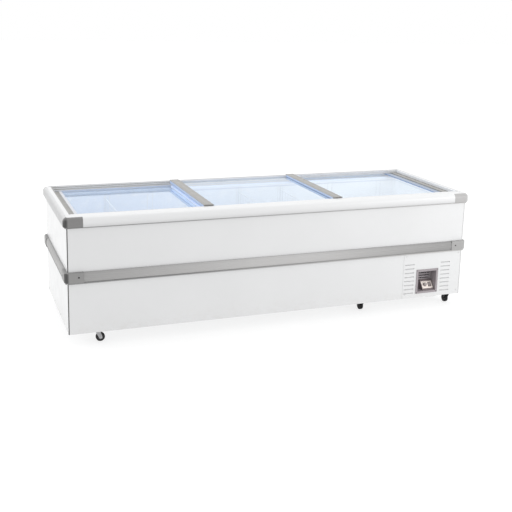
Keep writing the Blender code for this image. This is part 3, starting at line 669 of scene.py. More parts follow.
def add_lathe(bm, profile, matrix, steps=32):
    """Adds a turned shape: (radius, height) points, closed where the radius is 0 or the loop ends meet."""
    rings = []
    for radius, height in profile:
        around = circle(steps) if radius > 1e-6 else [(0.0, 0.0)]
        rings.append([bm.verts.new(matrix @ Vector((radius * c, radius * s, height))) for c, s in around])
    pairs = list(zip(rings, rings[1:]))
    if len(rings[0]) > 1 and len(rings[-1]) > 1:
        pairs.append((rings[-1], rings[0]))
    for first, second in pairs:
        for k in range(steps):
            m = (k + 1) % steps
            corners = (first[k % len(first)], first[m % len(first)],
                       second[m % len(second)], second[k % len(second)])
            unique = list(dict.fromkeys(corners))
            if len(unique) >= 3:
                bm.faces.new(unique)


def both_faces(half):
    """A lathe profile from the half of it above z = 0."""
    return half + [(radius, -height) for radius, height in reversed(half)]


def facing_matrix(at, axis, turn=0.0):
    """Places local +Z along axis at a point."""
    facing = Vector(axis).to_track_quat("Z", "Y").to_matrix().to_4x4()
    return Matrix.Translation(at) @ facing @ Matrix.Rotation(turn, 4, "Z")


def add_screw(bm, at, axis, radius):
    """Adds a domed screw head with a cross recess. Its levels are in units of its radius."""
    matrix = facing_matrix(at, axis, 0.3)
    steps = 24
    rings = []
    levels = ((1.0, 0.0), (1.0, 0.10), (0.90, 0.32), (0.72, 0.46), (0.56, 0.52), (0.40, 0.56), (0.24, 0.58))
    for share, height in levels:
        ring = []
        for c, s in circle(steps):
            in_cross = min(abs(share * c), abs(share * s)) < 0.11 and share < 0.6
            z = height - (0.34 if in_cross else 0.0)
            ring.append(bm.verts.new(matrix @ (radius * Vector((share * c, share * s, z)))))
        rings.append(ring)
    skin(bm, rings, ends=False)
    middle = bm.verts.new(matrix @ Vector((0, 0, radius * 0.20)))
    for k in range(steps):
        bm.faces.new((rings[-1][k], rings[-1][(k + 1) % steps], middle))
    bm.faces.new(rings[0])


def cut_out(bm, cutter):
    """The shape in bm less the shape in cutter."""
    made = []
    for name, source in (("cut_target", bm), ("cut_tool", cutter)):
        bmesh.ops.recalc_face_normals(source, faces=source.faces)
        mesh = bpy.data.meshes.new(name)
        source.to_mesh(mesh)
        source.free()
        made.append(bpy.data.objects.new(name, mesh))
        bpy.context.scene.collection.objects.link(made[-1])
    target, tool = made
    cut = target.modifiers.new("cut", "BOOLEAN")
    cut.operation = "DIFFERENCE"
    cut.solver = "EXACT"
    cut.object = tool
    bpy.context.view_layer.update()
    mesh = bpy.data.meshes.new_from_object(target.evaluated_get(bpy.context.evaluated_depsgraph_get()))
    result = bmesh.new()
    result.from_mesh(mesh)
    for helper in made:
        bpy.data.objects.remove(helper)
    bpy.data.meshes.remove(mesh)
    return result


# ---------------------------------------------------------------- cabinet trim

WALL_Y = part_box("rear_panel")[1][1]
WALL_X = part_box("right_end_panel")[1][0]
SKIN_GAP = 0.0004          # trim starts this far outside the wall line
PANE_GAP = 0.0003          # room between a pane and the profiles that hold it
BAND_LOW, BAND_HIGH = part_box("band_front")[0][2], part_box("band_front")[1][2]
RIM_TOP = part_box("top_cover")[1][2]
RIM_INSET = 0.010          # the rim starts to round this far inside the wall line
RIM_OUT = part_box("bumper_rear")[1][1] - WALL_Y
RIM_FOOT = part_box("bumper_rear")[0][2]
SHOULDER_LOW = RIM_TOP - 0.026
POCKET_RADIUS, POCKET_DEPTH = 0.0048, 0.0027
PANEL_SCREWS_UP = (0.098, 0.345)

# Each side's name, the axis along it, and how an (outward, up) point at a length along it is placed.
SIDES = (
    ("front", 0, lambda out, up, t: (t, -WALL_Y - out, up)),
    ("rear", 0, lambda out, up, t: (-t, WALL_Y + out, up)),
    ("left", 1, lambda out, up, t: (-WALL_X - out, -t, up)),
    ("right", 1, lambda out, up, t: (WALL_X + out, t, up)),
)


def side_sign(node, axis):
    """1 or -1: which side of the middle a node stands on."""
    return 1 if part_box(node)[1][axis] > 0 else -1


def band_outline(low, high, out):
    """(outward, up) points of a bulged band with fine ribs along it."""
    ribs, steps = 5, 60
    edge = out - 0.0085
    points = [(SKIN_GAP, low + 0.0004), (SKIN_GAP, high - 0.0004), (edge, high - 0.0002)]
    for i in range(steps + 1):
        t = i / steps
        up = high - 0.0012 - (high - low - 0.0024) * t
        bulge = out - 0.0070 * abs(2 * t - 1) ** 3.2
        rib = 0.0010 * (0.5 - 0.5 * math.cos(2 * math.pi * ribs * t)) if 0.08 < t < 0.92 else 0.0
        points.append((bulge - rib, up))
    points.append((edge, low + 0.0002))
    return points


def make_bands():
    for side, along, at in SIDES:
        low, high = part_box("band_" + side)
        out = max(-low[1 - along], high[1 - along]) - (WALL_Y, WALL_X)[along]
        bm = bmesh.new()
        add_prism(bm, band_outline(low[2], high[2], out), -high[along], high[along], at)
        look = ("band_x", "band_y")[along]
        finish_mesh("ribbed_band_" + side, bm, look, "cabinet", 50, ["band_" + side])


def rim_height(out):
    """Height of the rim's rounded shoulder, out metres beyond the wall line."""
    share = min(1.0, (RIM_INSET + out) / (RIM_INSET + RIM_OUT))
    return SHOULDER_LOW + (RIM_TOP - 0.0001 - SHOULDER_LOW) * math.sqrt(1.0 - share ** 2)


def bumper_outline(near):
    """(outward, up) points of the rim bumper, from near outwards: shoulder, nose, round foot."""
    points = [(near, RIM_FOOT)]
    steps, foot_steps, foot_radius = 18, 6, 0.010
    reach = RIM_INSET + RIM_OUT
    start = math.asin((RIM_INSET + near) / reach)
    for i in range(steps + 1):
        angle = start + (math.pi / 2 - start) * i / steps
        out = reach * math.sin(angle) - RIM_INSET
        points.append((out, rim_height(out)))
    for i in range(foot_steps + 1):
        angle = math.pi / 2 * i / foot_steps
        points.append((RIM_OUT - foot_radius * (1 - math.cos(angle)),
                       RIM_FOOT + foot_radius * (1 - math.sin(angle))))
    return points


def make_rim():
    """The rim as one soft bullnose: side bumpers, corner mouldings and top cover."""
    for side, along, at in SIDES:
        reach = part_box("bumper_" + side)[1][along]
        bm = bmesh.new()
        add_prism(bm, bumper_outline(0.0003), -reach, reach, at)
        look = ("rim_x", "rim_y")[along]
        finish_mesh("soft_bumper_" + side, bm, look, "cabinet", 40, ["bumper_" + side])
    for across in ("left", "right"):
        for along in ("front", "rear"):
            node = f"bumper_corner_{along}_{across}"
            bm = corner_body(node, bumper_outline(0.0004), RIM_OUT)
            finish_mesh("soft_" + node, bm, "corner", "cabinet", 40, [node])
    make_top_cover()


def corner_body(node, outline, out):
    """A moulding round a corner of the cabinet. Rings just before and after the bend keep its legs flat."""
    low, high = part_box(node)
    leg_x, leg_y = high[0] - low[0] - out, high[1] - low[1] - out
    steps, beside_bend = 14, RIM_INSET + 0.001
    rings = [[(WALL_X - leg, WALL_Y + a, up) for a, up in outline] for leg in (leg_x, beside_bend)]
    for i in range(steps + 1):
        angle = math.pi / 2 * i / steps
        rings.append([(WALL_X - RIM_INSET + (RIM_INSET + a) * math.sin(angle),
                       WALL_Y - RIM_INSET + (RIM_INSET + a) * math.cos(angle), up) for a, up in outline])
    rings += [[(WALL_X + a, WALL_Y - leg, up) for a, up in outline] for leg in (beside_bend, leg_y)]
    sx, sy = side_sign(node, 0), side_sign(node, 1)
    bm = bmesh.new()
    skin(bm, [[bm.verts.new((sx * x, sy * y, z)) for x, y, z in ring] for ring in rings])
    return bm


def rounded_frame(half_x, front, rear, radius, height):
    """Points round a rectangle with round corners, as many at a corner with radius 0 as at any other."""
    steps = 6
    points = []
    for turn, x, y, sx, sy in ((0, half_x, rear, 1, 1), (90, -half_x, rear, -1, 1),
                               (180, -half_x, front, -1, -1), (270, half_x, front, 1, -1)):
        for i in range(steps + 1):
            angle = math.radians(turn + 90 * i / steps)
            points.append((x + radius * (math.cos(angle) - sx), y + radius * (math.sin(angle) - sy), height))
    return points


def make_top_cover():
    """The frame round the opening. Its outer edge and its corners fall away into the bumpers."""
    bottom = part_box("top_cover")[0][2]
    front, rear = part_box("lid_track_front")[0][1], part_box("lid_track_rear")[1][1]
    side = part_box("lid_right_stile_right")[1][0] + 0.008
    edge = 0.0008              # chamfer round the opening
    joint = -0.0003            # the cover ends this far inside the wall line
    rings = [rounded_frame(side, front, rear, 0.0, bottom),
             rounded_frame(side, front, rear, 0.0, RIM_TOP - edge),
             rounded_frame(side + edge, front - edge, rear + edge, 0.0, RIM_TOP),
             rounded_frame(WALL_X - RIM_INSET, RIM_INSET - WALL_Y, WALL_Y - RIM_INSET, 0.0, RIM_TOP)]
    falls = (-0.0085, -0.0070, -0.0055, -0.0040, -0.0025, -0.0012, joint)
    for out, height in [(out, rim_height(out)) for out in falls] + [(joint, bottom)]:
        rings.append(rounded_frame(WALL_X + out, -WALL_Y - out, WALL_Y + out, RIM_INSET + out, height))
    bm = bmesh.new()
    loops = [[bm.verts.new(point) for point in points] for points in rings]
    skin(bm, loops + loops[:1], ends=False)
    bmesh.ops.remove_doubles(bm, verts=bm.verts, dist=0.000002)
    bmesh.ops.dissolve_degenerate(bm, dist=0.000002, edges=bm.edges)
    finish_mesh("soft_top_cover", bm, "rim_x", "cabinet", 30, ["top_cover"])


def make_lips():
    """Dark lips under the rim bumper and under the band, which paint the shadow lines there."""
    for label, foot, out, height in (("rim", RIM_FOOT, 0.0090, 0.0036), ("band", BAND_LOW, 0.0115, 0.0068)):
        top = foot - 0.0002
        outline = [(SKIN_GAP, top), (out - 0.001, top), (out, foot - 0.0012), (out - 0.0008, foot - height),
                   (SKIN_GAP, foot - height)]
        bm = bmesh.new()
        for _, along, at in SIDES:
            reach = (WALL_X, WALL_Y + 0.0003)[along]
            add_prism(bm, outline, -reach, reach, at)
        finish_mesh(f"shadow_line_lip_{label}", bm, "lip", "cabinet")


def make_corner_gaskets():
    """Rubber beads in the upright joints between the front and rear panels and the end panels; the right
    end's are paler as painted light.
    """
    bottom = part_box("left_end_panel")[0][2]
    near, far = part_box("front_panel")[1][0] - 0.0022, WALL_X - SKIN_GAP
    face = WALL_Y - SKIN_GAP
    outline = [(near, face - 0.0010), (near, face + 0.0006), ((near + far) / 2, face + 0.0011),
               (far, face + 0.0005), (far, face - 0.0010)]
    # The right end's beads are paler as painted light.
    for end, look, sx in (("left", "gasket", -1), ("right", "gasket_painted_light", 1)):
        bm = bmesh.new()
        for sy in (-1, 1):
            for low, high in ((bottom + 0.001, BAND_LOW - 0.004), (BAND_HIGH + 0.0005, RIM_FOOT - 0.005)):
                add_prism(bm, outline, low, high, lambda a, b, t: (sx * a, sy * b, t))
        finish_mesh("corner_gaskets_" + end, bm, look, "cabinet")


def band_screws(node):
    """(place on the moulding's face, outward axis) of the two screws in a corner piece of the band."""
    sx, sy = side_sign(node, 0), side_sign(node, 1)
    out_x, out_y = (max(abs(corner[axis]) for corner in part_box(node)) for axis in (0, 1))
    middle, from_wall = (BAND_LOW + BAND_HIGH) / 2, 0.058
    return (((sx * (WALL_X - from_wall), sy * out_y, middle + 0.002), (0, sy, 0)),
            ((sx * out_x, sy * (WALL_Y - from_wall), middle), (sx, 0, 0)))


def band_corner_outline(low, high, out):
    """(outward, up) points of a flat moulding with round edges."""
    radius, steps = 0.008, 6
    points = [(SKIN_GAP, low), (SKIN_GAP, high)]
    for level, start in ((high - radius, 90), (low + radius, 0)):
        for i in range(steps + 1):
            angle = math.radians(start - 90 * i / steps)
            points.append((out - radius + radius * math.cos(angle), level + radius * math.sin(angle)))
    return points


def make_band_corners():
    """The band's corner mouldings, with a round pocket that sinks each screw."""
    pocket = [(0.0, -POCKET_DEPTH), (POCKET_RADIUS - 0.0006, -POCKET_DEPTH),
              (POCKET_RADIUS, 0.001), (0.0, 0.001)]
    for node in NODE_LOOKS["band_corner"]:
        low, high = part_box(node)
        out = max(abs(low[0]), abs(high[0])) - WALL_X
        bm = corner_body(node, band_corner_outline(low[2], high[2], out), out)
        cutter = bmesh.new()
        for at, axis in band_screws(node):
            add_lathe(cutter, pocket, facing_matrix(at, axis), 28)
        bm = cut_out(bm, cutter)
        finish_mesh("pocketed_" + node, bm, "band_corner", "cabinet", 25, [node])


def make_screws():
    proud = 0.0001             # heads start this far outside the sheet
    trim, painted, panel = bmesh.new(), bmesh.new(), bmesh.new()
    for node in NODE_LOOKS["band_corner"]:
        for at, axis in band_screws(node):
            add_screw(trim, Vector(at) - (POCKET_DEPTH - proud) * Vector(axis), axis, 0.0038)
    low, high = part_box("control_bezel")
    inset = 0.0055
    for x in (low[0] + inset, high[0] - inset):
        for z in (low[2] + inset, high[2] - inset):
            add_screw(trim, (x, low[1] - proud, z), (0, -1, 0), 0.0026)
    low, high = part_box("grille_panel")
    for x in (low[0] + 0.018, high[0] - 0.018):
        for z in (0.105, high[2] - 0.022):
            add_screw(painted, (x, -WALL_Y - proud, z), (0, -1, 0), 0.0036)
    for sx in (-1, 1):
        for y in (-0.36, -0.12, 0.12, 0.36):
            add_screw(panel, (sx * (WALL_X + proud), y, PANEL_SCREWS_UP[0]), (sx, 0, 0), 0.0036)
    for x in (-1.15, -0.57, 0.0, 0.57, 0.85, 1.17):
        for z in PANEL_SCREWS_UP:
            add_screw(panel, (x, WALL_Y + proud, z), (0, 1, 0), 0.0036)
    finish_mesh("cabinet_screws", panel, "screw", "cabinet", 40)
    finish_mesh("trim_screws", trim, "dark_metal_and_painted_shade", "cabinet", 40)
    finish_mesh("grille_screws", painted, "paint", "cabinet", 40)


# ---------------------------------------------------------------- lids

def pane_levels(lid):
    """Heights just under and just over a lid's pane."""
    low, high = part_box(f"lid_{lid}_glass")
    return low[2] - PANE_GAP, high[2] + PANE_GAP


def make_bars():
    """The middle lid's stiles: extruded bars with two grooves, closed by end caps."""
    under, over = pane_levels("middle")
    cap = 0.014                # length of an end cap
    for side, inner in (("left", 1), ("right", -1)):
        node = f"lid_middle_stile_{side}"
        low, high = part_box(node)
        at = along_y((low[0] + high[0]) / 2)
        half = (high[0] - low[0]) / 2
        top, foot = high[2], low[2]
        ledge = foot + 0.0172
        edge = [(half, ledge), (half, top - 0.0026), (half - 0.0008, top - 0.0009),
                (half - 0.0026, top - 0.0001)]
        outline = [(-a, b) for a, b in edge]
        for centre in (-0.0165, 0.0165):
            outline += [(centre - 0.0016, top), (centre - 0.0009, top - 0.0011),
                        (centre + 0.0009, top - 0.0011), (centre + 0.0016, top)]
        outline += reversed(edge)
        bm = bmesh.new()
        add_prism(bm, outline, low[1] + cap, high[1] - cap, at)
        skirt, groove = inner * (half - 0.001), inner * (half - 0.017)
        web = [(-skirt, foot), (-skirt, ledge), (skirt, ledge), (skirt, over), (groove, over),
               (groove, under), (skirt, under), (skirt, foot)]
        add_prism(bm, web, OPEN_FRONT + 0.0015, OPEN_REAR - 0.0015, at)
        finish_mesh(f"bar_{side}", bm, "bar", "middle_lid", 40, [node])

        bm = bmesh.new()
        for start, end in ((low[1], low[1] + cap - 0.0004), (high[1] - cap + 0.0004, high[1])):
            add_prism(bm, outline, start, end, at)
        finish_mesh(f"bar_caps_{side}", bm, "cap", "middle_lid", 40)


def make_end_stiles():
    """The end lids' outer stiles: a finger recess along the outside, darkened by a strip as painted shade,
    then the raised grey face.
    """
    for lid, side, bead_width in (("left", 1, 0.0180), ("right", -1, 0.0100)):
        stile = f"lid_{lid}_stile_{lid}"
        low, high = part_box(stile)
        under, over = pane_levels(lid)
        foot, top, width = low[2], high[2], high[0] - low[0]
        floor = foot + 0.45 * (top - foot)
        step, rib, bead, groove = 0.0105, 0.0295, width - bead_width, width - 0.030
        outline = [(0.0, foot), (0.0, floor), (step, floor), (step, top - 0.0010), (step + 0.0010, top),
                   (rib - 0.0012, top), (rib - 0.0006, top - 0.0008), (rib + 0.0006, top - 0.0008),
                   (rib + 0.0012, top), (bead, top), (bead, over), (groove, over), (groove, under),
                   (width, under), (width, foot)]
        at = along_y(low[0] if side > 0 else high[0], side)
        bm = bmesh.new()
        add_prism(bm, outline, low[1], high[1], at)
        finish_mesh(f"end_stile_{lid}", bm, "lid_y", f"{lid}_lid", 40, [stile])

        # Painted shade: a dark strip on the finger recess's floor.
        strip = [(0.0004, floor + 0.0001), (0.0004, floor + 0.0008), (step - 0.0003, floor + 0.0014),
                 (step - 0.0003, floor + 0.0001)]
        bm = bmesh.new()
        add_prism(bm, strip, low[1] + 0.002, high[1] - 0.002, at)
        finish_mesh(f"finger_recess_painted_shade_{lid}", bm, "recess", f"{lid}_lid", 40)


def add_strip(name, look, body, near, far, low, high):
    """A soft strip across the opening, thinner at its top than at its foot."""
    outline = [(near, low), (near, high), (far - 0.25 * (far - near), high),
               (far, low + 0.3 * (high - low)), (far, low)]
    bm = bmesh.new()
    add_prism(bm, outline, OPEN_FRONT + 0.002, OPEN_REAR - 0.002, along_y())
    finish_mesh(name, bm, look, body, 40)


def make_seals():
    """Soft blades along the bars, and the strips that hold the panes in the end stiles; the blue on the bars
    and at the right end is painted shade and reflection.
    """
    for label, inner in (("left", 1), ("right", -1)):
        low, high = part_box(f"lid_middle_stile_{label}")
        for word, side, edge in (("left", -1, low[0]), ("right", 1, high[0])):
            start = pane_levels("middle")[1] if side == inner else low[2] + 0.0004
            near, far = edge - side * 0.0012, edge + side * 0.0014
            name = f"{label}_bar_{word}"
            # Blue blades and side strips: painted shade and reflection on the bars' sides.
            add_strip(name + "_blade", "blade", "middle_lid", near, far, start, start + 0.0034)
            add_strip(name + "_side", "side_seal", "middle_lid", near, far - side * 0.0004,
                      start + 0.0036, high[2] - 0.0030)

    edge, _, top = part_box("lid_left_stile_left")[1]
    over = pane_levels("left")[1]
    add_strip("glazing_bead_left", "soft_bead", "left_lid", edge - 0.0178, edge + 0.0010, over, top - 0.0002)
    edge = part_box("lid_right_stile_right")[0][0]
    over = pane_levels("right")[1]
    # The right end's strips are blue as painted shade and reflection.
    for part, look, near, far, height in (("seal", "pale_seal", 0.0060, -0.0330, 0.0020),
                                          ("edge", "seal", -0.0332, -0.0400, 0.0022)):
        name = f"glazing_{part}_right"
        add_strip(name, look, "right_lid", edge + near, edge + far, over, over + height)


def make_end_rails():
    """Two-tone rails that line the ends of the opening, beside and above the lids' ends."""
    lid_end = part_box("lid_right_stile_right")[1][0]
    split = RIM_TOP - 0.0190
    near, far = lid_end + 0.0018, lid_end + 0.0076
    for end, side, upper_look in (("left", -1, "lid_y"), ("right", 1, "bead")):
        for level, look, low, high in (("lower", "lid_y", RIM_TOP - 0.0285, split - 0.0002),
                                       ("upper", upper_look, split, RIM_TOP - 0.0006)):
            outline = [(near, low), (near, high - 0.0010), (near + 0.0010, high), (far, high), (far, low)]
            bm = bmesh.new()
            add_prism(bm, outline, OPEN_FRONT + 0.0004, OPEN_REAR - 0.0004, along_y(0.0, side))
            finish_mesh(f"end_rail_{end}_{level}", bm, look, "cabinet", 40)


# ---------------------------------------------------------------- tub

CHANNELS = (-0.863, -0.593, -0.004, 0.287, 0.650, 1.020)
TUB_FLOOR, RAISED_FLOOR, STEP_X = 0.18, 0.46, 0.72    # the channels end here, lower to the left of STEP_X


def make_channels():
    """Pairs of thin upright ribs on the tub's long walls, where dividers can stand."""
    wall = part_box("inner_liner")[1][1] - 0.0015
    face = wall - 0.0011
    bm = bmesh.new()
    for x in CHANNELS:
        bottom = RAISED_FLOOR if x > STEP_X else TUB_FLOOR
        for sy in (-1, 1):
            for middle in (x - 0.016, x + 0.016):
                outline = [(middle - 0.0022, sy * wall), (middle - 0.0014, sy * face),
                           (middle + 0.0014, sy * face), (middle + 0.0022, sy * wall)]
                add_prism(bm, outline, bottom, 0.668, lambda a, b, t: (a, b, t))
    finish_mesh("divider_channels", bm, "wire", "cabinet", 40)


def make_dividers():
    """Welded wire grids in place of the plain lattices."""
    rod, wire, gaps = 0.0028, 0.0017, 16    # radius of the frame and of the wires, and gaps between uprights
    for name in ("divider_left", "divider_middle", "divider_right"):
        low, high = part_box(name)
        x = (low[0] + high[0]) / 2
        near, far = low[1] + rod, high[1] - rod
        foot, rail, post = low[2] + rod, 0.644, high[2] - rod
        bend = [(near, foot + 0.012), (near + 0.004, foot + 0.003), (near + 0.012, foot)]
        path = [(near, post), *bend, *((near + far - y, z) for y, z in reversed(bend)), (far, post)]
        bm = bmesh.new()
        add_tube(bm, [(x, y, z) for y, z in path], rod, 10)
        for level, radius in ((rail, rod), (0.480, wire), (0.320, wire)):
            add_tube(bm, [(x, near, level), (x, far, level)], radius)
        for i in range(1, gaps):
            y = near + (far - near) * i / gaps
            add_tube(bm, [(x + wire, y, foot), (x + wire, y, rail)], wire, 6)
        finish_mesh("wire_" + name, bm, "wire", name, 60, [name])


# ---------------------------------------------------------------- controls

KNOB, SWITCH = JOINTS["thermostat_turn"], JOINTS["power_switch_rock"]
SLOPE_NORMAL = Vector(KNOB["axis"])
KNOB_PLACE = facing_matrix(KNOB["pos_m"], SLOPE_NORMAL)
DIAL_NUMBERS = 8
DIAL_LIFT = -0.00044       # the print's height over the knob's joint


def make_knob():
    flutes, steps = 18, 108
    bm = bmesh.new()
    rings = []
    for radius, height in ((0.0118, 0.0), (0.0118, 0.0013), (0.0104, 0.0022), (0.0100, 0.0095),
                           (0.0092, 0.0106), (0.0078, 0.0110)):
        ring = []
        for k in range(steps):
            angle = 2 * math.pi * k / steps
            dip = 0.0005 * max(0.0, math.cos(flutes * angle)) if 0.0015 < height < 0.0100 else 0.0
            out = radius - dip
            point = Vector((out * math.cos(angle), out * math.sin(angle), height))
            ring.append(bm.verts.new(KNOB_PLACE @ point))
        rings.append(ring)
    skin(bm, rings)
    finish_mesh("fluted_knob", bm, "dial", "knob", 35, ["thermostat_knob"])

    bm = bmesh.new()
    add_box(bm, (-0.0006, 0.0022, 0.01095), (0.0006, 0.0076, 0.0112), 0.0001, KNOB_PLACE)
    finish_mesh("knob_pointer", bm, "pointer", "knob", 35)


def digit_mesh(name, digit):
    """A printed digit, centred on the origin."""
    words = bpy.data.curves.new(name, "FONT")
    words.body = digit
    words.size = 0.0042
    words.extrude = 0.00005
    words.align_x = "CENTER"
    words.align_y = "CENTER"
    writer = bpy.data.objects.new(name, words)
    bpy.context.scene.collection.objects.link(writer)
    bpy.context.view_layer.update()
    bm = bmesh.new()
    bm.from_mesh(bpy.data.meshes.new_from_object(writer))
    bpy.data.objects.remove(writer)
    bmesh.ops.remove_doubles(bm, verts=bm.verts, dist=0.000001)
    return bm


def make_dial():
    """Ring of marks and digits printed round the knob."""
    angles = [math.radians(225 - 270 * i / (DIAL_NUMBERS - 1)) for i in range(DIAL_NUMBERS)]
    bm = bmesh.new()
    for angle in angles:
        place = KNOB_PLACE @ Matrix.Rotation(angle - math.pi / 2, 4, "Z")
        add_box(bm, (-0.00035, 0.0128, DIAL_LIFT), (0.00035, 0.0150, DIAL_LIFT + 0.0001), 0.0, place)
    finish_mesh("dial_marks", bm, "print", "cabinet")
    for i, angle in enumerate(angles):
        name = f"dial_number_{i}"
        bm = digit_mesh(name, str(i))
        spot = Matrix.Translation((0.0172 * math.cos(angle), 0.0172 * math.sin(angle), DIAL_LIFT + 0.00005))
        bmesh.ops.transform(bm, matrix=KNOB_PLACE @ spot, verts=bm.verts)
        finish_mesh(name, bm, "print", "cabinet")


def make_control_plate():
    """The cream plate on the console's slope, with an opening for the switch."""
    uphill = SLOPE_NORMAL.cross(Vector((-1, 0, 0)))
    knob, switch = Vector(KNOB["pos_m"]), Vector(SWITCH["pos_m"])
    low_x, high_x = knob.x - 0.0215, switch.x + 0.0185
    hole_x = (switch.x - 0.0106, switch.x + 0.0106)
    strips = ((low_x, hole_x[0], -0.0235, 0.0235), (hole_x[1], high_x, -0.0235, 0.0235),
              (*hole_x, -0.0235, -0.0148), (*hole_x, 0.0148, 0.0235))
    middle = Vector((0.0, switch.y, switch.z))
    bm = bmesh.new()
    for left, right, lower, upper in strips:
        corners = [middle + Vector((x, 0.0, 0.0)) + uphill * v
                   for x, v in ((left, lower), (right, lower), (right, upper), (left, upper))]
        skin(bm, [[bm.verts.new(corner + SLOPE_NORMAL * lift) for corner in corners]
                  for lift in (0.00004, 0.00014)])
    finish_mesh("control_plate", bm, "plate", "cabinet")


def make_switch_frame():
    place = facing_matrix(SWITCH["pos_m"], SLOPE_NORMAL)
    bm = bmesh.new()
    out_x, out_y = 0.0104, 0.0146
    in_x, in_y = 0.0085, 0.0127
    for low, high in (((-out_x, -out_y), (out_x, -in_y)), ((-out_x, in_y), (out_x, out_y)),
                      ((-out_x, -in_y), (-in_x, in_y)), ((in_x, -in_y), (out_x, in_y))):
        add_box(bm, (*low, 0.0002), (*high, 0.0010), 0.0002, place)
    finish_mesh("switch_frame", bm, "dial", "cabinet")


# ---------------------------------------------------------------- castors

AXLE_FACE = 0.0146         # from the wheel's middle to a fork leg's outer face


def make_castors():
    half, spokes = 0.010, 6
    for name in [key.removeprefix("castor_") for key in frame["bodies"] if key.startswith("castor_")]:
        spin = JOINTS[f"wheel_{name}_spin"]
        centre = Vector(spin["pos_m"])
        wheel = facing_matrix(centre, spin["axis"])
        tread = centre.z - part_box("castor_wheel_" + name)[0][2]
        edge = [(0.0180, half - 0.0008), (0.0215, half), (tread - 0.0018, half - 0.0004),
                (tread - 0.0004, half - 0.0022)]
        grooves = []
        for level in (0.0045, -0.0025):
            grooves += [(tread, level + 0.0006), (tread - 0.0009, level - 0.0002),
                        (tread - 0.0009, level - 0.0012), (tread, level - 0.0020)]
        far_edge = both_faces(edge)[len(edge):]
        bm = bmesh.new()
        add_lathe(bm, edge + grooves + far_edge, wheel, 48)
        body, node = "wheel_" + name, "castor_wheel_" + name
        finish_mesh("tyre_" + name, bm, "tyre", body, 35, [node])

        hub = both_faces([(0.0034, half), (0.0070, half), (0.0080, half - 0.0020), (0.0085, half - 0.0034),
                          (0.0160, half - 0.0034), (0.0168, half - 0.0012), (0.0179, half - 0.0009)])
        bm = bmesh.new()
        add_lathe(bm, hub, wheel, 40)
        for k in range(spokes):
            turn = Matrix.Rotation(2 * math.pi * k / spokes, 4, "Z")
            for side in (-1, 1):
                near, far = sorted((side * (half - 0.0036), side * (half - 0.0014)))
                add_box(bm, (0.0075, -0.0008, near), (0.0172, 0.0008, far), 0.0003, wheel @ turn)
        finish_mesh("hub_" + name, bm, "hub", body, 35)
        make_fork_details(name)


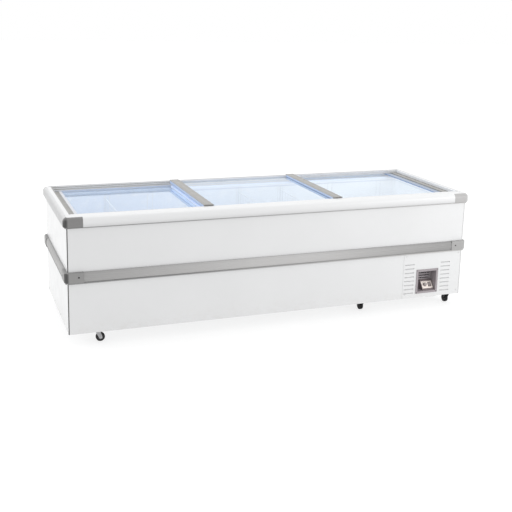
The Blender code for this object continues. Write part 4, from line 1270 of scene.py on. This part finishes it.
def make_fork_details(name):
    """Pressed ribs on the fork's legs, axle nuts, the ball race above the fork, bolts in its plate."""
    pivot = Vector(JOINTS[f"castor_{name}_swivel"]["pos_m"])
    spin = JOINTS[f"wheel_{name}_spin"]
    centre, axis = Vector(spin["pos_m"]), Vector(spin["axis"])
    trail = Vector((centre.x - pivot.x, centre.y - pivot.y, 0)).normalized()
    up = Vector((0, 0, 1))
    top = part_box("castor_fork_" + name)[1][2]
    body, look = "castor_" + name, fork_look(name)
    bm = bmesh.new()
    for side in (-1, 1):
        face = axis * side * AXLE_FACE
        for offset in (-0.0045, 0.0045):
            start = centre + face + trail * offset * 0.6 + up * 0.011
            end = Vector((pivot.x, pivot.y, 0)) + face + trail * (0.0035 + offset) + up * (top - 0.010)
            add_tube(bm, [start, start.lerp(end, 0.5), end], 0.0011)
    finish_mesh("fork_ribs_" + name, bm, look, body, 50)

    nut = [(0.0, 0.0), (0.0052, 0.0), (0.0052, 0.0014), (0.0046, 0.0018), (0.0, 0.0018)]
    axle_end = [(0.0, 0.0018), (0.0028, 0.0018), (0.0024, 0.0026), (0.0, 0.0028)]
    bm = bmesh.new()
    for side in (-1, 1):
        matrix = facing_matrix(centre + axis * side * AXLE_FACE, axis * side)
        add_lathe(bm, nut, matrix, 6)
        add_lathe(bm, axle_end, matrix, 16)
    finish_mesh("axle_nuts_" + name, bm, "screw" if look == "fork" else look, body, 30)

    bm = bmesh.new()
    race = [(0.0236, -0.0052), (0.0250, -0.0046), (0.0250, -0.0016), (0.0240, -0.0004), (0.0222, -0.0004),
            (0.0222, -0.0052)]
    add_lathe(bm, race, Matrix.Translation((pivot.x, pivot.y, top)), 36)
    finish_mesh("ball_race_" + name, bm, look, body, 50)

    bm = bmesh.new()
    bolt = [(0.0, 0.0), (0.0048, 0.0), (0.0048, 0.0026), (0.0040, 0.0032), (0.0, 0.0032)]
    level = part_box("base_pan")[0][2] - 0.0001
    for dx in (-0.024, 0.024):
        for dy in (-0.024, 0.024):
            add_lathe(bm, bolt, facing_matrix((pivot.x + dx, pivot.y + dy, level), (0, 0, -1), 0.4), 6)
    finish_mesh("castor_bolts_" + name, bm, "screw", "cabinet", 30)


# ---------------------------------------------------------------- machine compartment

def make_pipes():
    """Copper tube between compressor and condenser, and the relay box on the compressor's side."""
    low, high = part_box("compressor")
    cx, cy = (low[0] + high[0]) / 2, (low[1] + high[1]) / 2
    fins_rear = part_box("condenser")[1][1]
    bm = bmesh.new()
    start = Vector((cx - 0.094, cy - 0.01, 0.230))
    steps = ((0.0, 0.0, 0.0), (-0.020, -0.004, 0.004), (-0.036, -0.020, 0.020), (-0.042, -0.060, 0.060),
             (-0.044, -0.130, 0.090))
    end = Vector((start.x - 0.044, fins_rear, 0.337))
    last = [end + Vector(step) for step in ((0.0, 0.090, -0.007), (0.0, 0.030, 0.0), (0.0, 0.001, 0.0))]
    add_tube(bm, [start + Vector(step) for step in steps] + last, 0.0032, 10)
    start = Vector((cx + 0.086, cy + 0.03, 0.215))
    steps = ((0.0, 0.0, 0.0), (0.018, 0.004, 0.0), (0.030, 0.010, 0.012), (0.034, 0.012, 0.050),
             (0.034, 0.012, 0.110), (0.030, 0.030, 0.130), (0.0, 0.060, 0.140))
    add_tube(bm, [start + Vector(step) for step in steps], 0.0045, 10)
    finish_mesh("copper_pipes", bm, "copper", "cabinet", 50)

    bm = bmesh.new()
    add_box(bm, (cx - 0.030, high[1] - 0.004, 0.150), (cx + 0.030, high[1] + 0.030, 0.215), 0.004)
    finish_mesh("relay_box", bm, "black", "cabinet", 40)


# ---------------------------------------------------------------- build

make_camera()
make_studio()
dress_nodes()
make_bands()
make_band_corners()
make_rim()
make_lips()
make_corner_gaskets()
make_screws()
make_bars()
make_end_stiles()
make_seals()
make_end_rails()
make_channels()
make_dividers()
make_knob()
make_control_plate()
make_dial()
make_switch_frame()
make_castors()
make_pipes()
